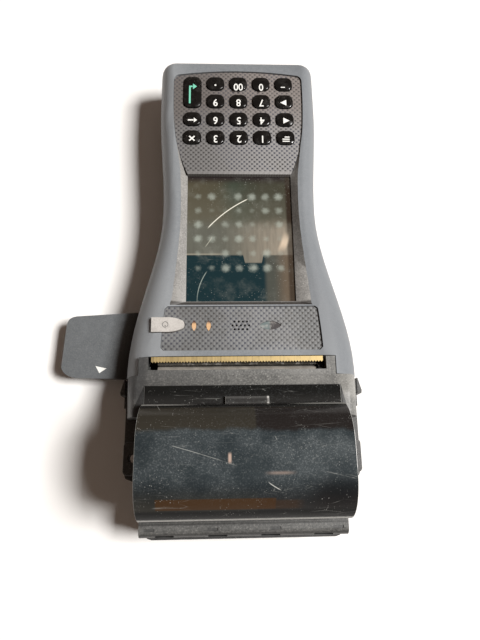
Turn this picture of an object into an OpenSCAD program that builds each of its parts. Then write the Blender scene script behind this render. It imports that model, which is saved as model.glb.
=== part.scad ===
// Handheld terminal with a keypad, a display and a thermal printer under a hinged clear lid.
// Frame: +X right, +Y towards the printer, +Z up out of the display. The origin is on the flat
// outer face of the battery cover, on the centre line.

/* [Case] */
// Width across the keypad end
grip_w = 87.2; // [84:0.2:92]
// Width at the waist beside the display
waist_w = 81.4; // [79:0.2:84]
// How far the printer head stands out over its core on each side
head_over = 9; // [8.6:0.1:10]
// Wall thickness of the moulded shells
wall = 2.2; // [1.8:0.1:2.5]
// Height of the parting line between the two shells
parting_z = 20; // [19.6:0.1:20.4]
// Top face of the front panel
panel_z = 33.5; // [33.2:0.1:34]
// How far the ridge of the top case stands above the front panel
ridge_up = 0.7; // [0.4:0.1:1]
// Length of the bridge between the front panel and the paper mouth
bridge_l = 2.6; // [2:0.2:3.6]
// Depth of the rounded keypad end
end_l = 11.5; // [10:0.5:14]

/* [Display] */
// Width of the display opening
display_w = 54.5; // [52:0.5:55]
// Length of the display opening
display_l = 69.4; // [68:0.2:70]
// Centre of the display along the case
display_y = 15.3; // [15:0.1:15.6]
// Top face of the display glass
glass_z = 30.6; // [30.4:0.1:30.7]
// Thickness of the glass and touch panel
glass_t = 1.2; // [0.8:0.1:1.4]

/* [Keypad] */
// Spacing of the key columns
key_pitch_x = 12.58; // [12.2:0.02:12.9]
// Spacing of the key rows
key_pitch_y = 11.42; // [11.2:0.02:11.6]
// Width of a key cap
key_w = 9.2; // [8.6:0.1:9.6]
// Length of a key cap
key_l = 8; // [7.4:0.1:8.4]
// Corner radius of a key cap
key_r = 3; // [2:0.1:3.5]
// How far a key cap stands above the panel
key_up = 1.1; // [0.9:0.1:1.5]
// Travel of a key
key_travel = 0.7; // [0.5:0.1:0.8]
// Gap between a key cap and its hole
key_gap = 0.3; // [0.25:0.05:0.4]

/* [Printer] */
// Width of the paper
paper_w = 80; // [79:0.5:80.5]
// Largest paper roll
roll_d = 44; // [42:0.5:44.5]
// Radius of the platen roller
platen_r = 5; // [4.8:0.1:5.1]
// Sideways offset of the printer mechanism
mech_x = 2.3; // [1.6:0.1:2.4]
// Wall of the clear lid window
window_t = 1.8; // [1.4:0.1:2]
// Radius of the steel pins and shafts
pin_r = 1.5; // [1.2:0.05:1.6]
// Running clearance round a pin
pin_gap = 0.05; // [0.03:0.01:0.08]

/* [Power] */
// Width of the battery cover
cover_w = 62; // [60:0.5:66]
// Length of the battery cover
cover_l = 104; // [100:0.5:108]
// Thickness of the battery cover's plate
cover_t = 2.5; // [2.2:0.1:3]
// Thickness of the battery pack
battery_t = 13; // [11:0.2:13.4]

/* [Card guide] */
// How far the card guide reaches from the centre line
guide_reach = 92; // [88:0.5:96]
// Top face of the card guide
guide_z = 11.2; // [10.8:0.1:11.6]
// Thickness of the card guide
guide_t = 2.6; // [2.2:0.1:3]

/* [Hidden] */
$fn = 32;
gap = 0.3;
e = 0.01;

// ---- widths that follow the paper ----
window_w = paper_w + 11;
blade_l = paper_w + 1.3;
core_w = window_w + 3.4;
head_w = core_w + 2 * head_over;
platen_half = paper_w / 2 - 2;
head_half = platen_half;
gear_x = platen_half + 0.8;
arm_in = paper_w / 2 + 2.1;
arm_w = 4.3;
arm_out = arm_in + arm_w;
mouth_half = arm_out + 0.5;
rail_x = window_w / 2 - 1.5;
rail_w = 6;

// ---- places along the case ----
display_y0 = display_y - display_l / 2;
display_y1 = display_y + display_l / 2;
first_row_y = display_y0 - 22;
last_row_y = first_row_y - 3 * key_pitch_y;
panel_y0 = last_row_y - key_l / 2 - 4.24;
end_y = panel_y0 - end_l;
panel_y1 = display_y1 + 25.2;
speaker_y0 = display_y1 + 3.3;
mouth_y = panel_y1 + bridge_l;
split_y = mouth_y + 8.7;
platen_y = mouth_y + 8.5;
roll_y = mouth_y + 47.5;
roll_z = glass_z + 0.4;
window_r = roll_d / 2 + 1 + window_t;
window_square = 5.8;
hinge_y = roll_y + window_r + 4.9;
hinge_z = parting_z + 1.5;
tail_y = hinge_y + 4.8;
deck_y = split_y + 19.5;

// ---- heights ----
ridge_z = panel_z + ridge_up;
panel_t = panel_z - glass_z - 0.2;
platen_z = parting_z + 5.5;
under_z = parting_z - 3.5;

function step(t) = let (u = min(1, max(0, t))) u * u * (3 - 2 * u);
function mix(a, b, t) = a + (b - a) * t;

// Half width of the case outline at the parting line.
flare_y0 = display_y - 17;
flare_y1 = mouth_y + 6.2;
grip_y0 = display_y - 20;
grip_y1 = first_row_y - 23;
function flank(y) = waist_w / 2
    + (head_w - waist_w) / 2 * step((y - flare_y0) / (flare_y1 - flare_y0))
    + (grip_w - waist_w) / 2 * step((grip_y0 - y) / (grip_y0 - grip_y1));

// The keypad end closes with a superellipse of this depth and power.
end_round = 10;
end_power = 5;
function end_share(y, d) = let (u = (end_y + d + end_round - y) / end_round)
    u <= 0 ? 1 : pow(max(0, 1 - pow(min(u, 1), end_power)), 1 / end_power);
function quarter(u) = u >= 1 ? 1 : sqrt(max(0, 1 - pow(1 - max(u, 0), 2)));

// Half width of the ridge, which is the edge of the front panel.
ridge_keys = grip_w / 2 - 8.1;
ridge_waist = waist_w / 2 - 8.8;
ridge_head = head_w / 2 - 17.4;
function ridge(y) = ridge_waist
    + (ridge_head - ridge_waist) * step((y - flare_y0 - 2) / 78)
    + (ridge_keys - ridge_waist) * step((-y + flare_y0 + 2) / 70);

// ---- lofted skins: a list of cross sections, each a closed list of [x, z] ----
function loft_points(ys, sections) =
    [for (i = [0:len(ys) - 1]) for (p = sections[i]) [p[0], ys[i], p[1]]];
function loft_faces(n, m) = concat(
    [[for (j = [0:m - 1]) j]],
    [for (i = [0:n - 2]) for (j = [0:m - 1]) let (k = (j + 1) % m)
        each [[i * m + j, (i + 1) * m + j, (i + 1) * m + k], [i * m + j, (i + 1) * m + k, i * m + k]]],
    [[for (j = [0:m - 1]) (n - 1) * m + m - 1 - j]]);
module loft(ys, sections) {
    polyhedron(loft_points(ys, sections), loft_faces(len(ys), len(sections[0])), convexity = 6);
}

arc_n = 6;
rim = 0.1;
end_steps = [0.15, 0.8, 2, 3.8, 6, 9, 13, 18];
body_step = 7;
function stations(y0, y1, d) = concat(
    [for (s = end_steps) y0 + d + s],
    [for (y = [y0 + 24:body_step:y1 - 2]) y], [y1]);

// Section of the upper shell, inset by d, from the right flank over the top to the left.
end_top_l = 10;
function upper_half(y, d) = let (
    share = end_share(y, d),
    w = (flank(y) - d) * share,
    r = max(0.4, w - (flank(y) - ridge(y))),
    h = (ridge_z - d - parting_z) * quarter((y - end_y - d) / end_top_l) + 2 * rim)
    [for (i = [0:arc_n]) let (a = 90 * i / arc_n) [r + (w - r) * cos(a), mix(rim, h, sin(a))]];
function upper_section(y, d, low) = let (half = upper_half(y, d)) concat(
    [[-half[0][0], low]],
    [for (p = half) [-p[0], parting_z + p[1]]],
    [for (i = [arc_n:-1:0]) [half[i][0], parting_z + half[i][1]]],
    [[half[0][0], low]]);
module upper_skin(y0, y1, d, low) {
    ys = y0 == end_y ? stations(y0, y1, d) : [for (i = [0:4]) mix(y0, y1, i / 4)];
    loft(ys, [for (y = ys) upper_section(y, d, low)]);
}

// Half width of the lower case, which narrows behind the printer's side walls.
tail_w = core_w - 3;
wall_end_y = roll_y + 6.6;
tail_blend = 5.5;
tail_round = 3.7;
function lower_flank(y) = let (
    w = y < split_y ? flank(y) : head_w / 2,
    n = mix(w, tail_w / 2, step((y - wall_end_y) / tail_blend)))
    n;
function tail_inset(y, d) = let (u = (y - (tail_y - d - tail_round)) / tail_round)
    u <= 0 ? 0 : tail_round * (1 - sqrt(max(0, 1 - u * u)));

// Underside: the grip lies above the battery cover and rises at the keypad end.
grip_rise = 6;
end_low_l = 16;
function under(y) = cover_t * (1 - step((y - display_y1 - 9) / 6))
    + grip_rise * step((first_row_y - 18 - y) / 34);
function slab(w, lip, depth) = [
    [w, -rim], [w - 0.005, -lip * 0.5], [w - 0.015, -lip], [w - 0.04, -lip - 0.5],
    [w - 0.14, -lip - 2], [w - 0.9, -depth + 5], [w - 4.9, -depth]];
function lower_half(y, d) = let (
    share = end_share(y, d),
    w = (lower_flank(y) - d) * share - tail_inset(y, d),
    q = quarter((y - end_y - d) / end_low_l),
    depth = (parting_z - under(y) - d) * q + 2 * rim,
    b = max(0.4, w - 13),
    c = core_w / 2 - d,
    t = step((y - 25) / 23),
    lip = parting_z - under_z - 2 * d > 0.6 ? parting_z - under_z - d : 0.6)
    [for (i = [0:arc_n]) let (
        a = 90 * i / arc_n,
        grip = [b + (w - b) * cos(a), -mix(rim, depth, sin(a))],
        head = w < c + 0.4 ? slab(w, lip, depth)[i] : [
            [w, -rim], [w - 0.3, -lip * 0.5], [max(w - 1.2, c), -lip], [c, -lip - 0.5],
            [c, -lip - 2], [c - 0.4, -depth + 5], [c - 4.5, -depth]][i])
        [mix(grip[0], head[0], t), mix(grip[1], head[1], t)]];
function lower_section(y, d, high) = let (half = lower_half(y, d)) concat(
    [[half[0][0], high]],
    [for (p = half) [p[0], parting_z + p[1]]],
    [for (i = [arc_n:-1:0]) [-half[i][0], parting_z + half[i][1]]],
    [[-half[0][0], high]]);
module lower_skin(d, high) {
    y1 = tail_y - d;
    ys = concat(
        [for (y = stations(end_y, wall_end_y - 2, d)) y],
        [for (i = [1:5]) wall_end_y + tail_blend * i / 5],
        [hinge_y - 4], [for (s = [4, 2.7, 1.5, 0.6, 0]) y1 - s]);
    loft(ys, [for (y = ys) lower_section(y, d, high)]);
}

// ---- flat outlines ----
function edge(f, y0, y1, n) = [for (i = [0:n]) let (y = mix(y0, y1, i / n)) [f(y), y]];
panel_corner = 3.6;
panel_bow = 2.4;
// Half width of the keypad panel, which curves in to the width of the display.
keypad_blend = 36;
function keypad_half(y) = let (t = max(0, (y - display_y0 + keypad_blend) / keypad_blend))
    mix(ridge(y), display_w / 2, pow(min(1, t), 3));
function mirrored(half) = concat(half, [for (i = [len(half) - 1:-1:0]) [-half[i][0], half[i][1]]]);
module keypad_outline(d) {
    y0 = panel_y0 + d;
    y2 = y0 + panel_corner + panel_bow;
    wide = ridge(y2) - d;
    corner = [for (a = [-72:18:-18])
        [wide - panel_corner + panel_corner * cos(a),
            y0 + panel_bow + panel_corner + panel_corner * sin(a)]];
    bow = [for (i = [0:4]) let (x = (wide - panel_corner) * i / 4)
        [x, y0 + panel_bow * pow(x / (wide - panel_corner), 2)]];
    side = [for (i = [0:20]) let (y = mix(y2, display_y0 - d, i / 20)) [keypad_half(y) - d, y]];
    polygon(mirrored(concat(bow, corner, side, [[0, display_y0 - d]])));
}
module speaker_outline(d) {
    y0 = speaker_y0 + d;
    y1 = panel_y1 - d;
    side = [for (i = [0:8]) let (y = mix(y0 + 1.2, y1 - 1.5, i / 8)) [ridge(y) - d, y]];
    ends = [[0, y0], [ridge(y0) - d - 1.2, y0]];
    polygon(mirrored(concat(ends, side, [[ridge(y1) - d - 1.5, y1], [0, y1]])));
}
// The deck that carries both panels and the display.
module deck_outline(d) {
    y0 = panel_y0 - d;
    y1 = panel_y1 + d;
    side = [for (i = [0:16]) let (y = mix(y0 + 3, y1, i / 16)) [ridge(y) + d, y]];
    polygon(mirrored(concat([[0, y0], [ridge(y0) + d - 3, y0]], side, [[0, y1]])));
}
module round_box(w, l, r) {
    union() {
        square([w - 2 * r, l], center = true);
        square([w, l - 2 * r], center = true);
        for (x = [-1, 1]) for (y = [-1, 1])
            translate([x * (w / 2 - r), y * (l / 2 - r)]) circle(r = r);
    }
}
module box(x0, x1, y0, y1, z0, z1) {
    translate([x0, y0, z0]) cube([x1 - x0, y1 - y0, z1 - z0]);
}
// A cylinder along X between x0 and x1 at [y, z].
module rod(x0, x1, y, z, r) {
    translate([x0, y, z]) rotate([0, 90, 0]) cylinder(r = r, h = x1 - x0);
}
// A profile drawn in the YZ plane, extruded along X.
module across(x0, x1) {
    translate([x0, 0, 0]) rotate([90, 0, 90]) linear_extrude(x1 - x0) children();
}
// An involute-like gear of n teeth; tooth 0 points at angle phase in the YZ plane.
gear_m = 0.6;
gear_w = 2.6;
function gear_pitch(n) = gear_m * n / 2;
module gear_outline(n, phase) {
    p = gear_pitch(n);
    tip = p + 0.75 * gear_m;
    root = p - 1.05 * gear_m;
    a = 360 / n;
    polygon([for (i = [0:n - 1]) each [
        for (q = [[root, -0.33], [tip, -0.12], [tip, 0.12], [root, 0.33]])
            [q[0] * cos(phase + a * (i + q[1])), q[0] * sin(phase + a * (i + q[1]))]]]);
}
module gear(n, y, z, phase, bore) {
    across(mech_x - gear_x - gear_w, mech_x - gear_x)
        translate([y, z]) difference() {
            gear_outline(n, phase);
            circle(r = bore);
        }
}
// A pointed oval of width w along X and length l along Y.
module lens(w, l) {
    r = (w * w + l * l) / w / 4;
    intersection() {
        translate([r - w / 2, 0]) circle(r = r);
        translate([w / 2 - r, 0]) circle(r = r);
    }
}
// The dish round the display: from the edge of the glass up to the ridge of the case.
dish_y0 = display_y0 - 24;
dish_y1 = display_y1 + 2.6;
module display_dish() {
    ys = concat([for (i = [0:8]) mix(dish_y0, display_y0, i / 8)],
        [for (i = [1:9]) mix(display_y0, display_y1, i / 9)], [dish_y1]);
    loft(ys, [for (y = ys) let (
        far = max(0, (display_y0 - y) / (display_y0 - dish_y0)),
        near = max(0, (y - display_y1) / (dish_y1 - display_y1)),
        low = mix(lip_z, ridge_z - 0.1, far + near * (panel_z - lip_z) / (ridge_z - 0.1 - lip_z)),
        g = y < display_y0 ? keypad_half(y) - 0.3 : mix(display_w / 2, ridge(y) - 2.4, near * 0.8),
        r = ridge(y) - mix(0.9, 0.4, far))
        [[-g, low], [-r, ridge_z + 1], [r, ridge_z + 1], [g, low]]]);
}
// A wire spring along Y from y0 to y1.
module coil(x, y0, y1, z, r, wire, turns) {
    n = 10 * turns;
    m = 6;
    points = [for (i = [0:n]) for (j = [0:m - 1]) let (
        a = 360 * turns * i / n, b = 360 * j / m, q = r + wire * cos(b))
        [x + q * cos(a), mix(y0 + wire, y1 - wire, i / n) + wire * sin(b), z + q * sin(a)]];
    faces = concat([[for (j = [0:m - 1]) j]],
        [for (i = [0:n - 1]) for (j = [0:m - 1]) let (k = (j + 1) % m)
            each [[i * m + j, (i + 1) * m + j, (i + 1) * m + k],
                [i * m + j, (i + 1) * m + k, i * m + k]]],
        [[for (j = [m - 1:-1:0]) n * m + j]]);
    polyhedron(points, faces, convexity = 8);
}

// ---- shared places of mating pieces ----
sheet_t = 1.2;
chassis_y = mouth_y - 5.8;
chassis_half = head_half + 0.2;
catch_x = head_half - 3.7;
catch_w = 3;
platen_teeth = 20;
idler_teeth = 24;
motor_teeth = 12;
idler_y = platen_y;
idler_z = platen_z - gear_pitch(platen_teeth) - gear_pitch(idler_teeth);
motor_angle = 192;
motor_reach = gear_pitch(idler_teeth) + gear_pitch(motor_teeth);
motor_y = idler_y + motor_reach * cos(motor_angle);
motor_z = idler_z + motor_reach * sin(motor_angle);
motor_r = 7.4;
release_y = split_y + 11.5;
release_z = under_z - 3.9;
hub_r = 3.4;
seal_z = parting_z + 0.3;
window_low = parting_z + 4;
window_flat = glass_z + 5;
well_half = cover_w / 2 - 1.5;
cover_y1 = display_y1;
cover_y0 = cover_y1 - cover_l;
well_y0 = cover_y0 + 2;
well_y1 = cover_y1 - 4;
well_top = cover_t + battery_t + 0.8;
board_z = well_top + wall + 0.4;
board_t = 1.6;
board_half = well_half + 2;
lcd_top = glass_z - glass_t - 0.2;
lcd_t = 4.6;
deck_z = glass_z + 0.2;
lip_z = glass_z + 0.8;
deck_low = deck_z - 2.2;
flange_z = deck_z - 1.2;
mat_z = flange_z - key_travel - 0.1;
mat_t = 1.2;
connector_z = 12.6;
connector_h = 5.4;
connector_w = 24;
lug_y = roll_y - 1.3;
lug_l = 15;
lug_bore = 1.8;
speaker_x = 0.5;
speaker_y = panel_y1 - 12.4;
led_x = [23, 16];
led_y = speaker_y;
sensor_x = -13.8;
button_x = 35.4;
button_y = speaker_y - 0.3;
button_w = 15.8;
button_l = 7.2;
nose_l = 8;
nose_r = 2.6;
button_travel = 0.6;
wing_y0 = display_y1 - 0.9;
wing_y1 = panel_y1 + 10.3;
wing_root = core_w / 2 - 2.4;
scan_x = 0;
scan_w = 22;
scan_h = 10;
scan_z = 8.4;
screw_at = [[flank(first_row_y - 20) - 6.5, first_row_y - 20], [flank(display_y - 3) - 6.3, display_y - 3],
    [core_w / 2 - 4.9, display_y1 + 4]];
screw_r = 1.2;
head_r = 2.3;
screw_gap = 0.3;
key_x0 = -0.1;

module screw_posts(r, z0, z1) {
    for (s = [-1, 1]) for (p = screw_at)
        translate([s * p[0], p[1], z0]) cylinder(r = r, h = z1 - z0);
}
function seat_z(i) = [9.4, 9.4, 5.4][i];

// The outline of the power button: squared outside, pointed towards the centre line.
module button_outline(d) {
    h = button_l / 2 + d;
    x0 = button_x - button_w / 2 + nose_l;
    translate([x0, button_y]) union() {
        intersection() {
            rotate([0, 0, 90]) lens(2 * h, 2 * (nose_l + 2 + d));
            union() {
                translate([nose_r - nose_l, 0]) circle(r = nose_r + d);
                translate([nose_r - nose_l, -h]) square([nose_l, 2 * h]);
            }
        }
        translate([0, -h]) square([button_w - nose_l + d, 2 * h]);
    }
}

module top_case() {
    color("slategray") difference() {
        upper_skin(end_y, split_y, 0, parting_z);
        difference() {
            upper_skin(end_y, split_y - wall, wall, parting_z - 1);
            translate([0, 0, deck_low]) linear_extrude(20) deck_outline(2);
            box(mech_x - mouth_half - wall, mech_x + mouth_half + wall, mouth_y - 0.1, split_y + 1,
                parting_z - 2, 60);
            box(mech_x - mouth_half - wall, mech_x + mouth_half + wall, mouth_y - wall, split_y + 1,
                parting_z + 8, 60);
            screw_posts(2.8, parting_z - 2, deck_low + 3);
        }
        // seats of the two panels
        translate([0, 0, deck_z]) linear_extrude(20) keypad_outline(0);
        translate([0, 0, deck_z]) linear_extrude(20) speaker_outline(0);
        // display: the dish, the opening and the seat of the glass from below
        display_dish();
        box(-display_w / 2, display_w / 2, display_y0 - e, display_y1, 20, 60);
        glass_seat(0.3, 20, glass_z + 0.05);
        intersection() {
            glass_seat(0.3, 20, deck_z + 1);
            linear_extrude(60) keypad_outline(0);
        }
        // keypad, speaker, indicator and sensor openings through the deck
        keypad_box(1.5, 20, deck_z + 1);
        translate([speaker_x, speaker_y, 20]) cylinder(r = 5.5, h = 20);
        for (x = led_x) translate([x, led_y, 20]) linear_extrude(20) lens(2.8, 6);
        translate([sensor_x, speaker_y, 20]) linear_extrude(20) round_box(7.4, 2.6, 1.2);
        translate([0, 0, 20]) linear_extrude(20) button_outline(key_gap);
        // mouth of the printer
        box(mech_x - mouth_half, mech_x + mouth_half, mouth_y, split_y + 1, parting_z - 1, 60);
        box(mech_x - mouth_half, mech_x + mouth_half, mouth_y - 0.4, split_y, parting_z - 1,
            parting_z + 8.2);
        screw_posts(screw_r, parting_z - 2, deck_low);
    }
}

module front_panel() {
    color("dimgray") difference() {
        translate([0, 0, deck_z]) linear_extrude(panel_t) union() {
            keypad_outline(0.15);
            speaker_outline(0.15);
        }
        for (c = [0:4]) for (r = [0:3]) if (!(c == 4 && r > 1))
            translate([key_x(c), key_y(r), 0]) linear_extrude(60)
                round_box(key_w + 2 * key_gap, key_l + 2 * key_gap, key_r + key_gap);
        translate([key_x(4), key_y(2.5), 0]) linear_extrude(60)
            round_box(key_w + 2 * key_gap, key_l + key_pitch_y + 2 * key_gap, key_r + key_gap);
        for (x = led_x) translate([x, led_y, 0]) linear_extrude(60) lens(2.3, 5.5);
        translate([sensor_x, speaker_y, 0]) linear_extrude(60) rotate([0, 0, 90]) lens(4.4, 10.8);
        // grille: rows of four, five and four
        for (j = [-1:1]) for (i = [-2:2 - abs(j)])
            translate([speaker_x + 2 * i + abs(j), speaker_y + 1.9 * j, 0])
                cylinder(r = 0.55, h = 60, $fn = 12);
        linear_extrude(60) button_outline(key_gap);
    }
}

function key_x(c) = key_x0 + (c - 2) * key_pitch_x;
function key_y(r) = first_row_y - r * key_pitch_y;
module key_cap(c, r, extra) {
    color("black") translate([key_x(c), key_y(r), 0]) {
        translate([0, 0, flange_z]) linear_extrude(1) square([key_w + 1.4, key_l + extra + 1.4],
            center = true);
        translate([0, 0, flange_z + 0.5]) linear_extrude(panel_z + key_up - flange_z - 0.5)
            round_box(key_w, key_l + extra, key_r);
    }
}
module key_fn() key_cap(0, 0, 0);
module key_1() key_cap(1, 0, 0);
module key_2() key_cap(2, 0, 0);
module key_3() key_cap(3, 0, 0);
module key_clear() key_cap(4, 0, 0);
module key_up_arrow() key_cap(0, 1, 0);
module key_4() key_cap(1, 1, 0);
module key_5() key_cap(2, 1, 0);
module key_6() key_cap(3, 1, 0);
module key_back() key_cap(4, 1, 0);
module key_down_arrow() key_cap(0, 2, 0);
module key_7() key_cap(1, 2, 0);
module key_8() key_cap(2, 2, 0);
module key_9() key_cap(3, 2, 0);
module key_minus() key_cap(0, 3, 0);
module key_0() key_cap(1, 3, 0);
module key_00() key_cap(2, 3, 0);
module key_dot() key_cap(3, 3, 0);
module key_enter() key_cap(4, 2.5, key_pitch_y);

// The rectangle round all the keys, widened by d.
module keypad_box(d, z0, z1) {
    w = 2 * key_pitch_x + key_w / 2 + d;
    box(key_x0 - w, key_x0 + w, key_y(3) - key_l / 2 - d, key_y(0) + key_l / 2 + d, z0, z1);
}
module keypad_mat() {
    color("silver") difference() {
        keypad_box(1.2, mat_z - mat_t, mat_z);
        for (x = [0.5:3.5]) for (y = [0.5:2.5])
            translate([key_x(x), key_y(y), 0]) cylinder(r = 0.8, h = 60);
    }
}

module keypad_board() {
    color("darkgreen") difference() {
        keypad_box(2.6, mat_z - mat_t - 1.7, mat_z - mat_t - 0.1);
        for (x = [-1, 1]) translate([key_x0 + x * 29, key_y(0) + 5, 0]) cylinder(r = 1, h = 60);
    }
}

// The block of the glass, which reaches under the lip round the display, widened by d.
module glass_seat(d, z0, z1) {
    translate([0, (display_y0 + display_y1 + 1.7) / 2, z0]) linear_extrude(z1 - z0)
        round_box(display_w + 6 + 2 * d, display_l + 3.7 + 2 * d, 2);
}
module display_glass() {
    color("lightcyan") glass_seat(0, glass_z - glass_t, glass_z);
}

module lcd_module() {
    color("dimgray") difference() {
        union() {
            box(-display_w / 2 - 4.6, display_w / 2 + 4.6, display_y0 - 3, display_y1 + 3,
                lcd_top - lcd_t, deck_low - 0.2);
            glass_seat(-0.1, lcd_top - lcd_t, lcd_top);
        }
        box(-display_w / 2 - 0.5, display_w / 2 + 0.5, display_y0 - 0.5, display_y1 + 0.5,
            lcd_top - 0.6, 60);
    }
}

module main_board() {
    color("darkgreen") difference() {
        union() {
            box(-board_half, board_half, first_row_y - 34, display_y1 + 12, board_z, board_z + board_t);
            box(-14, 6, display_y - 20, display_y, board_z + board_t - e, board_z + board_t + 1.4);
            box(10, 24, display_y - 14, display_y + 2, board_z + board_t - e, board_z + board_t + 1.2);
            box(-22, 20, first_row_y - 16, first_row_y - 8, board_z + board_t - e, board_z + board_t + 2.4);
            box(-24, -10, display_y1 - 8, display_y1 + 6, board_z + board_t - e, board_z + board_t + 1.6);
        }
        for (x = [-1, 1]) for (y = [first_row_y - 30, display_y1 + 8])
            translate([x * 28, y, 0]) cylinder(r = 1.4, h = 60);
    }
}

module led_windows() {
    color("wheat") for (x = led_x)
        translate([x, led_y, deck_z + 0.2]) linear_extrude(panel_t) lens(2.1, 5.3);
}

module sensor_window() {
    color("lightslategray") translate([sensor_x, speaker_y, deck_z + 0.1])
        linear_extrude(panel_t - 0.5) rotate([0, 0, 90]) lens(4.2, 10.6);
}

module speaker() {
    color("gray") translate([speaker_x, speaker_y, deck_low - 4.2]) union() {
        cylinder(r = 8, h = 3);
        cylinder(r = 6.4, h = 4);
    }
}

module power_button() {
    color("silver") union() {
        translate([0, 0, deck_low - 1.2]) linear_extrude(1) button_outline(0.9);
        translate([0, 0, deck_low - 0.7]) linear_extrude(ridge_z + 0.8 - deck_low + 0.7) button_outline(0);
    }
}

module tear_blade() {
    pitch = blade_l / 60;
    teeth = [for (i = [0:59]) let (x = -blade_l / 2 + i * pitch)
        each [[x, 2.3], [x + 0.5 * pitch, 3]]];
    color("goldenrod") translate([mech_x, mouth_y, 0]) union() {
        translate([0, 0, panel_z - 0.7]) linear_extrude(0.7)
            polygon(concat([[-blade_l / 2, 0.2]], teeth, [[blade_l / 2, 2.3], [blade_l / 2, 0.2]]));
        box(-blade_l / 2, blade_l / 2, 0.2, 0.9, panel_z - 2, panel_z - 0.6);
    }
}

module thermal_head() {
    color("ivory") union() {
        box(mech_x - head_half, mech_x + head_half, platen_y - platen_r - 1.3, platen_y - platen_r - 0.1,
            parting_z + 0.4, platen_z + 4);
    }
}

module head_heatsink() {
    y1 = platen_y - platen_r - 1.35;
    color("lightgray") difference() {
        box(mech_x - head_half, mech_x + head_half, y1 - 1.5, y1, parting_z + 0.2, platen_z + 5);
        for (x = spring_x) rod_y(mech_x + x, y1 - 2, y1 - 1.1, spring_z, 3.2);
    }
}
spring_x = [-head_half * 0.74, 0, head_half * 0.74];
spring_z = parting_z + 3.6;
module rod_y(x, y0, y1, z, r) {
    translate([x, y1, z]) rotate([90, 0, 0]) cylinder(r = r, h = y1 - y0);
}

module head_springs() {
    y1 = platen_y - platen_r - 2.45;
    color("silver") for (x = spring_x) coil(mech_x + x, chassis_y + sheet_t + 0.1, y1 - 0.1,
        spring_z, 2, 0.3, 5);
}

module printer_chassis() {
    y0 = chassis_y;
    w = chassis_half;
    color("lightgray") difference() {
        union() {
            box(mech_x - w, mech_x + w, y0, release_y - 3.2, parting_z - 1.4, parting_z - 0.2);
            box(mech_x - w, mech_x + w, y0, y0 + sheet_t, parting_z - 1.4, parting_z + 6);
            for (s = [-1, 1])
                box(mech_x + s * (w - sheet_t / 2) - sheet_t / 2,
                    mech_x + s * (w - sheet_t / 2) + sheet_t / 2,
                    y0, release_y - 3.2, wall + 0.2, parting_z - 0.3);
        }
        rod(mech_x - 60, mech_x, motor_y, motor_z, 3.2);
        rod(mech_x - 60, mech_x, idler_y, idler_z, pin_r);
        for (x = [-20, 20]) box(mech_x + x - 9, mech_x + x + 9, y0 + 6, y0 + 15, 0, 60);
        for (s = [-1, 1])
            box(mech_x + s * catch_x - catch_w / 2 - 0.5, mech_x + s * catch_x + catch_w / 2 + 0.5,
                release_y - 6.6, release_y, 0, 60);
    }
}

module idler_post() {
    color("silver") rod(mech_x - gear_x - gear_w - 0.8, mech_x - chassis_half + 1, idler_y, idler_z, pin_r);
}

module feed_motor() {
    color("gray") union() {
        rod(mech_x - chassis_half + 1.4, mech_x - chassis_half + 18, motor_y, motor_z, motor_r);
        rod(mech_x - chassis_half + 0.4, mech_x - chassis_half + 1.4, motor_y, motor_z, 3);
    }
}

module motor_pinion() {
    phase = motor_angle + 180 + (motor_angle - 90) * idler_teeth / motor_teeth + 180 / motor_teeth;
    color("black") union() {
        gear(motor_teeth, motor_y, motor_z, phase, 0.75);
        rod(mech_x - gear_x - gear_w - 0.4, mech_x - chassis_half, motor_y, motor_z, 0.8);
    }
}

module idler_gear() {
    color("black") gear(idler_teeth, idler_y, idler_z, 90, pin_r + pin_gap);
}

module platen_gear() {
    color("black") gear(platen_teeth, platen_y, platen_z, 270 + 180 / platen_teeth, pin_r);
}

module platen_shaft() {
    color("silver") rod(mech_x - arm_out + 1, mech_x + arm_out - 1, platen_y, platen_z, pin_r);
}

module platen_roller() {
    color("tan") difference() {
        rod(mech_x - platen_half, mech_x + platen_half, platen_y, platen_z, platen_r);
        rod(mech_x - head_w / 2, mech_x + head_w / 2, platen_y, platen_z, pin_r);
    }
}

bush_r = 3;
bush_x = arm_in + 1.5;
module platen_bushes() {
    color("dimgray") difference() {
        for (s = [-1, 1])
            rod(mech_x + s * bush_x - 1.2, mech_x + s * bush_x + 1.2, platen_y, platen_z, bush_r - 0.05);
        rod(mech_x - head_w / 2, mech_x + head_w / 2, platen_y, platen_z, pin_r + pin_gap);
    }
}

// ---- lid ----
deck_y0 = split_y + gap;
function lid_half(y) = head_w / 2 - 0.8 - 0.6 * step((y - deck_y0) / 19);
function lid_top(y) = mix(ridge_z - 0.3, window_flat + 0.2, step((y - deck_y0) / 8));
function lid_section(y, d, low) = let (
    w = lid_half(y) - d,
    r = w - 6.5,
    h = lid_top(y) - d - seal_z,
    half = [for (i = [0:arc_n]) let (a = 90 * i / arc_n) [r + 6.5 * cos(a), mix(rim, h, sin(a))]])
    concat([[-half[0][0], low]], [for (p = half) [-p[0], seal_z + p[1]]],
        [for (i = [arc_n:-1:0]) [half[i][0], seal_z + half[i][1]]], [[half[0][0], low]]);
module lid_skin(y0, y1, d, low) {
    ys = [for (i = [0:6]) mix(y0, y1, i / 6)];
    loft(ys, [for (y = ys) lid_section(y, d, low)]);
}
knuckle_w = 8;
bar_half = core_w / 2 + 0.2;
knuckle_x = [for (t = [-3:2:3]) t * bar_half / 3.95];
bar_r = 3.6;
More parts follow.
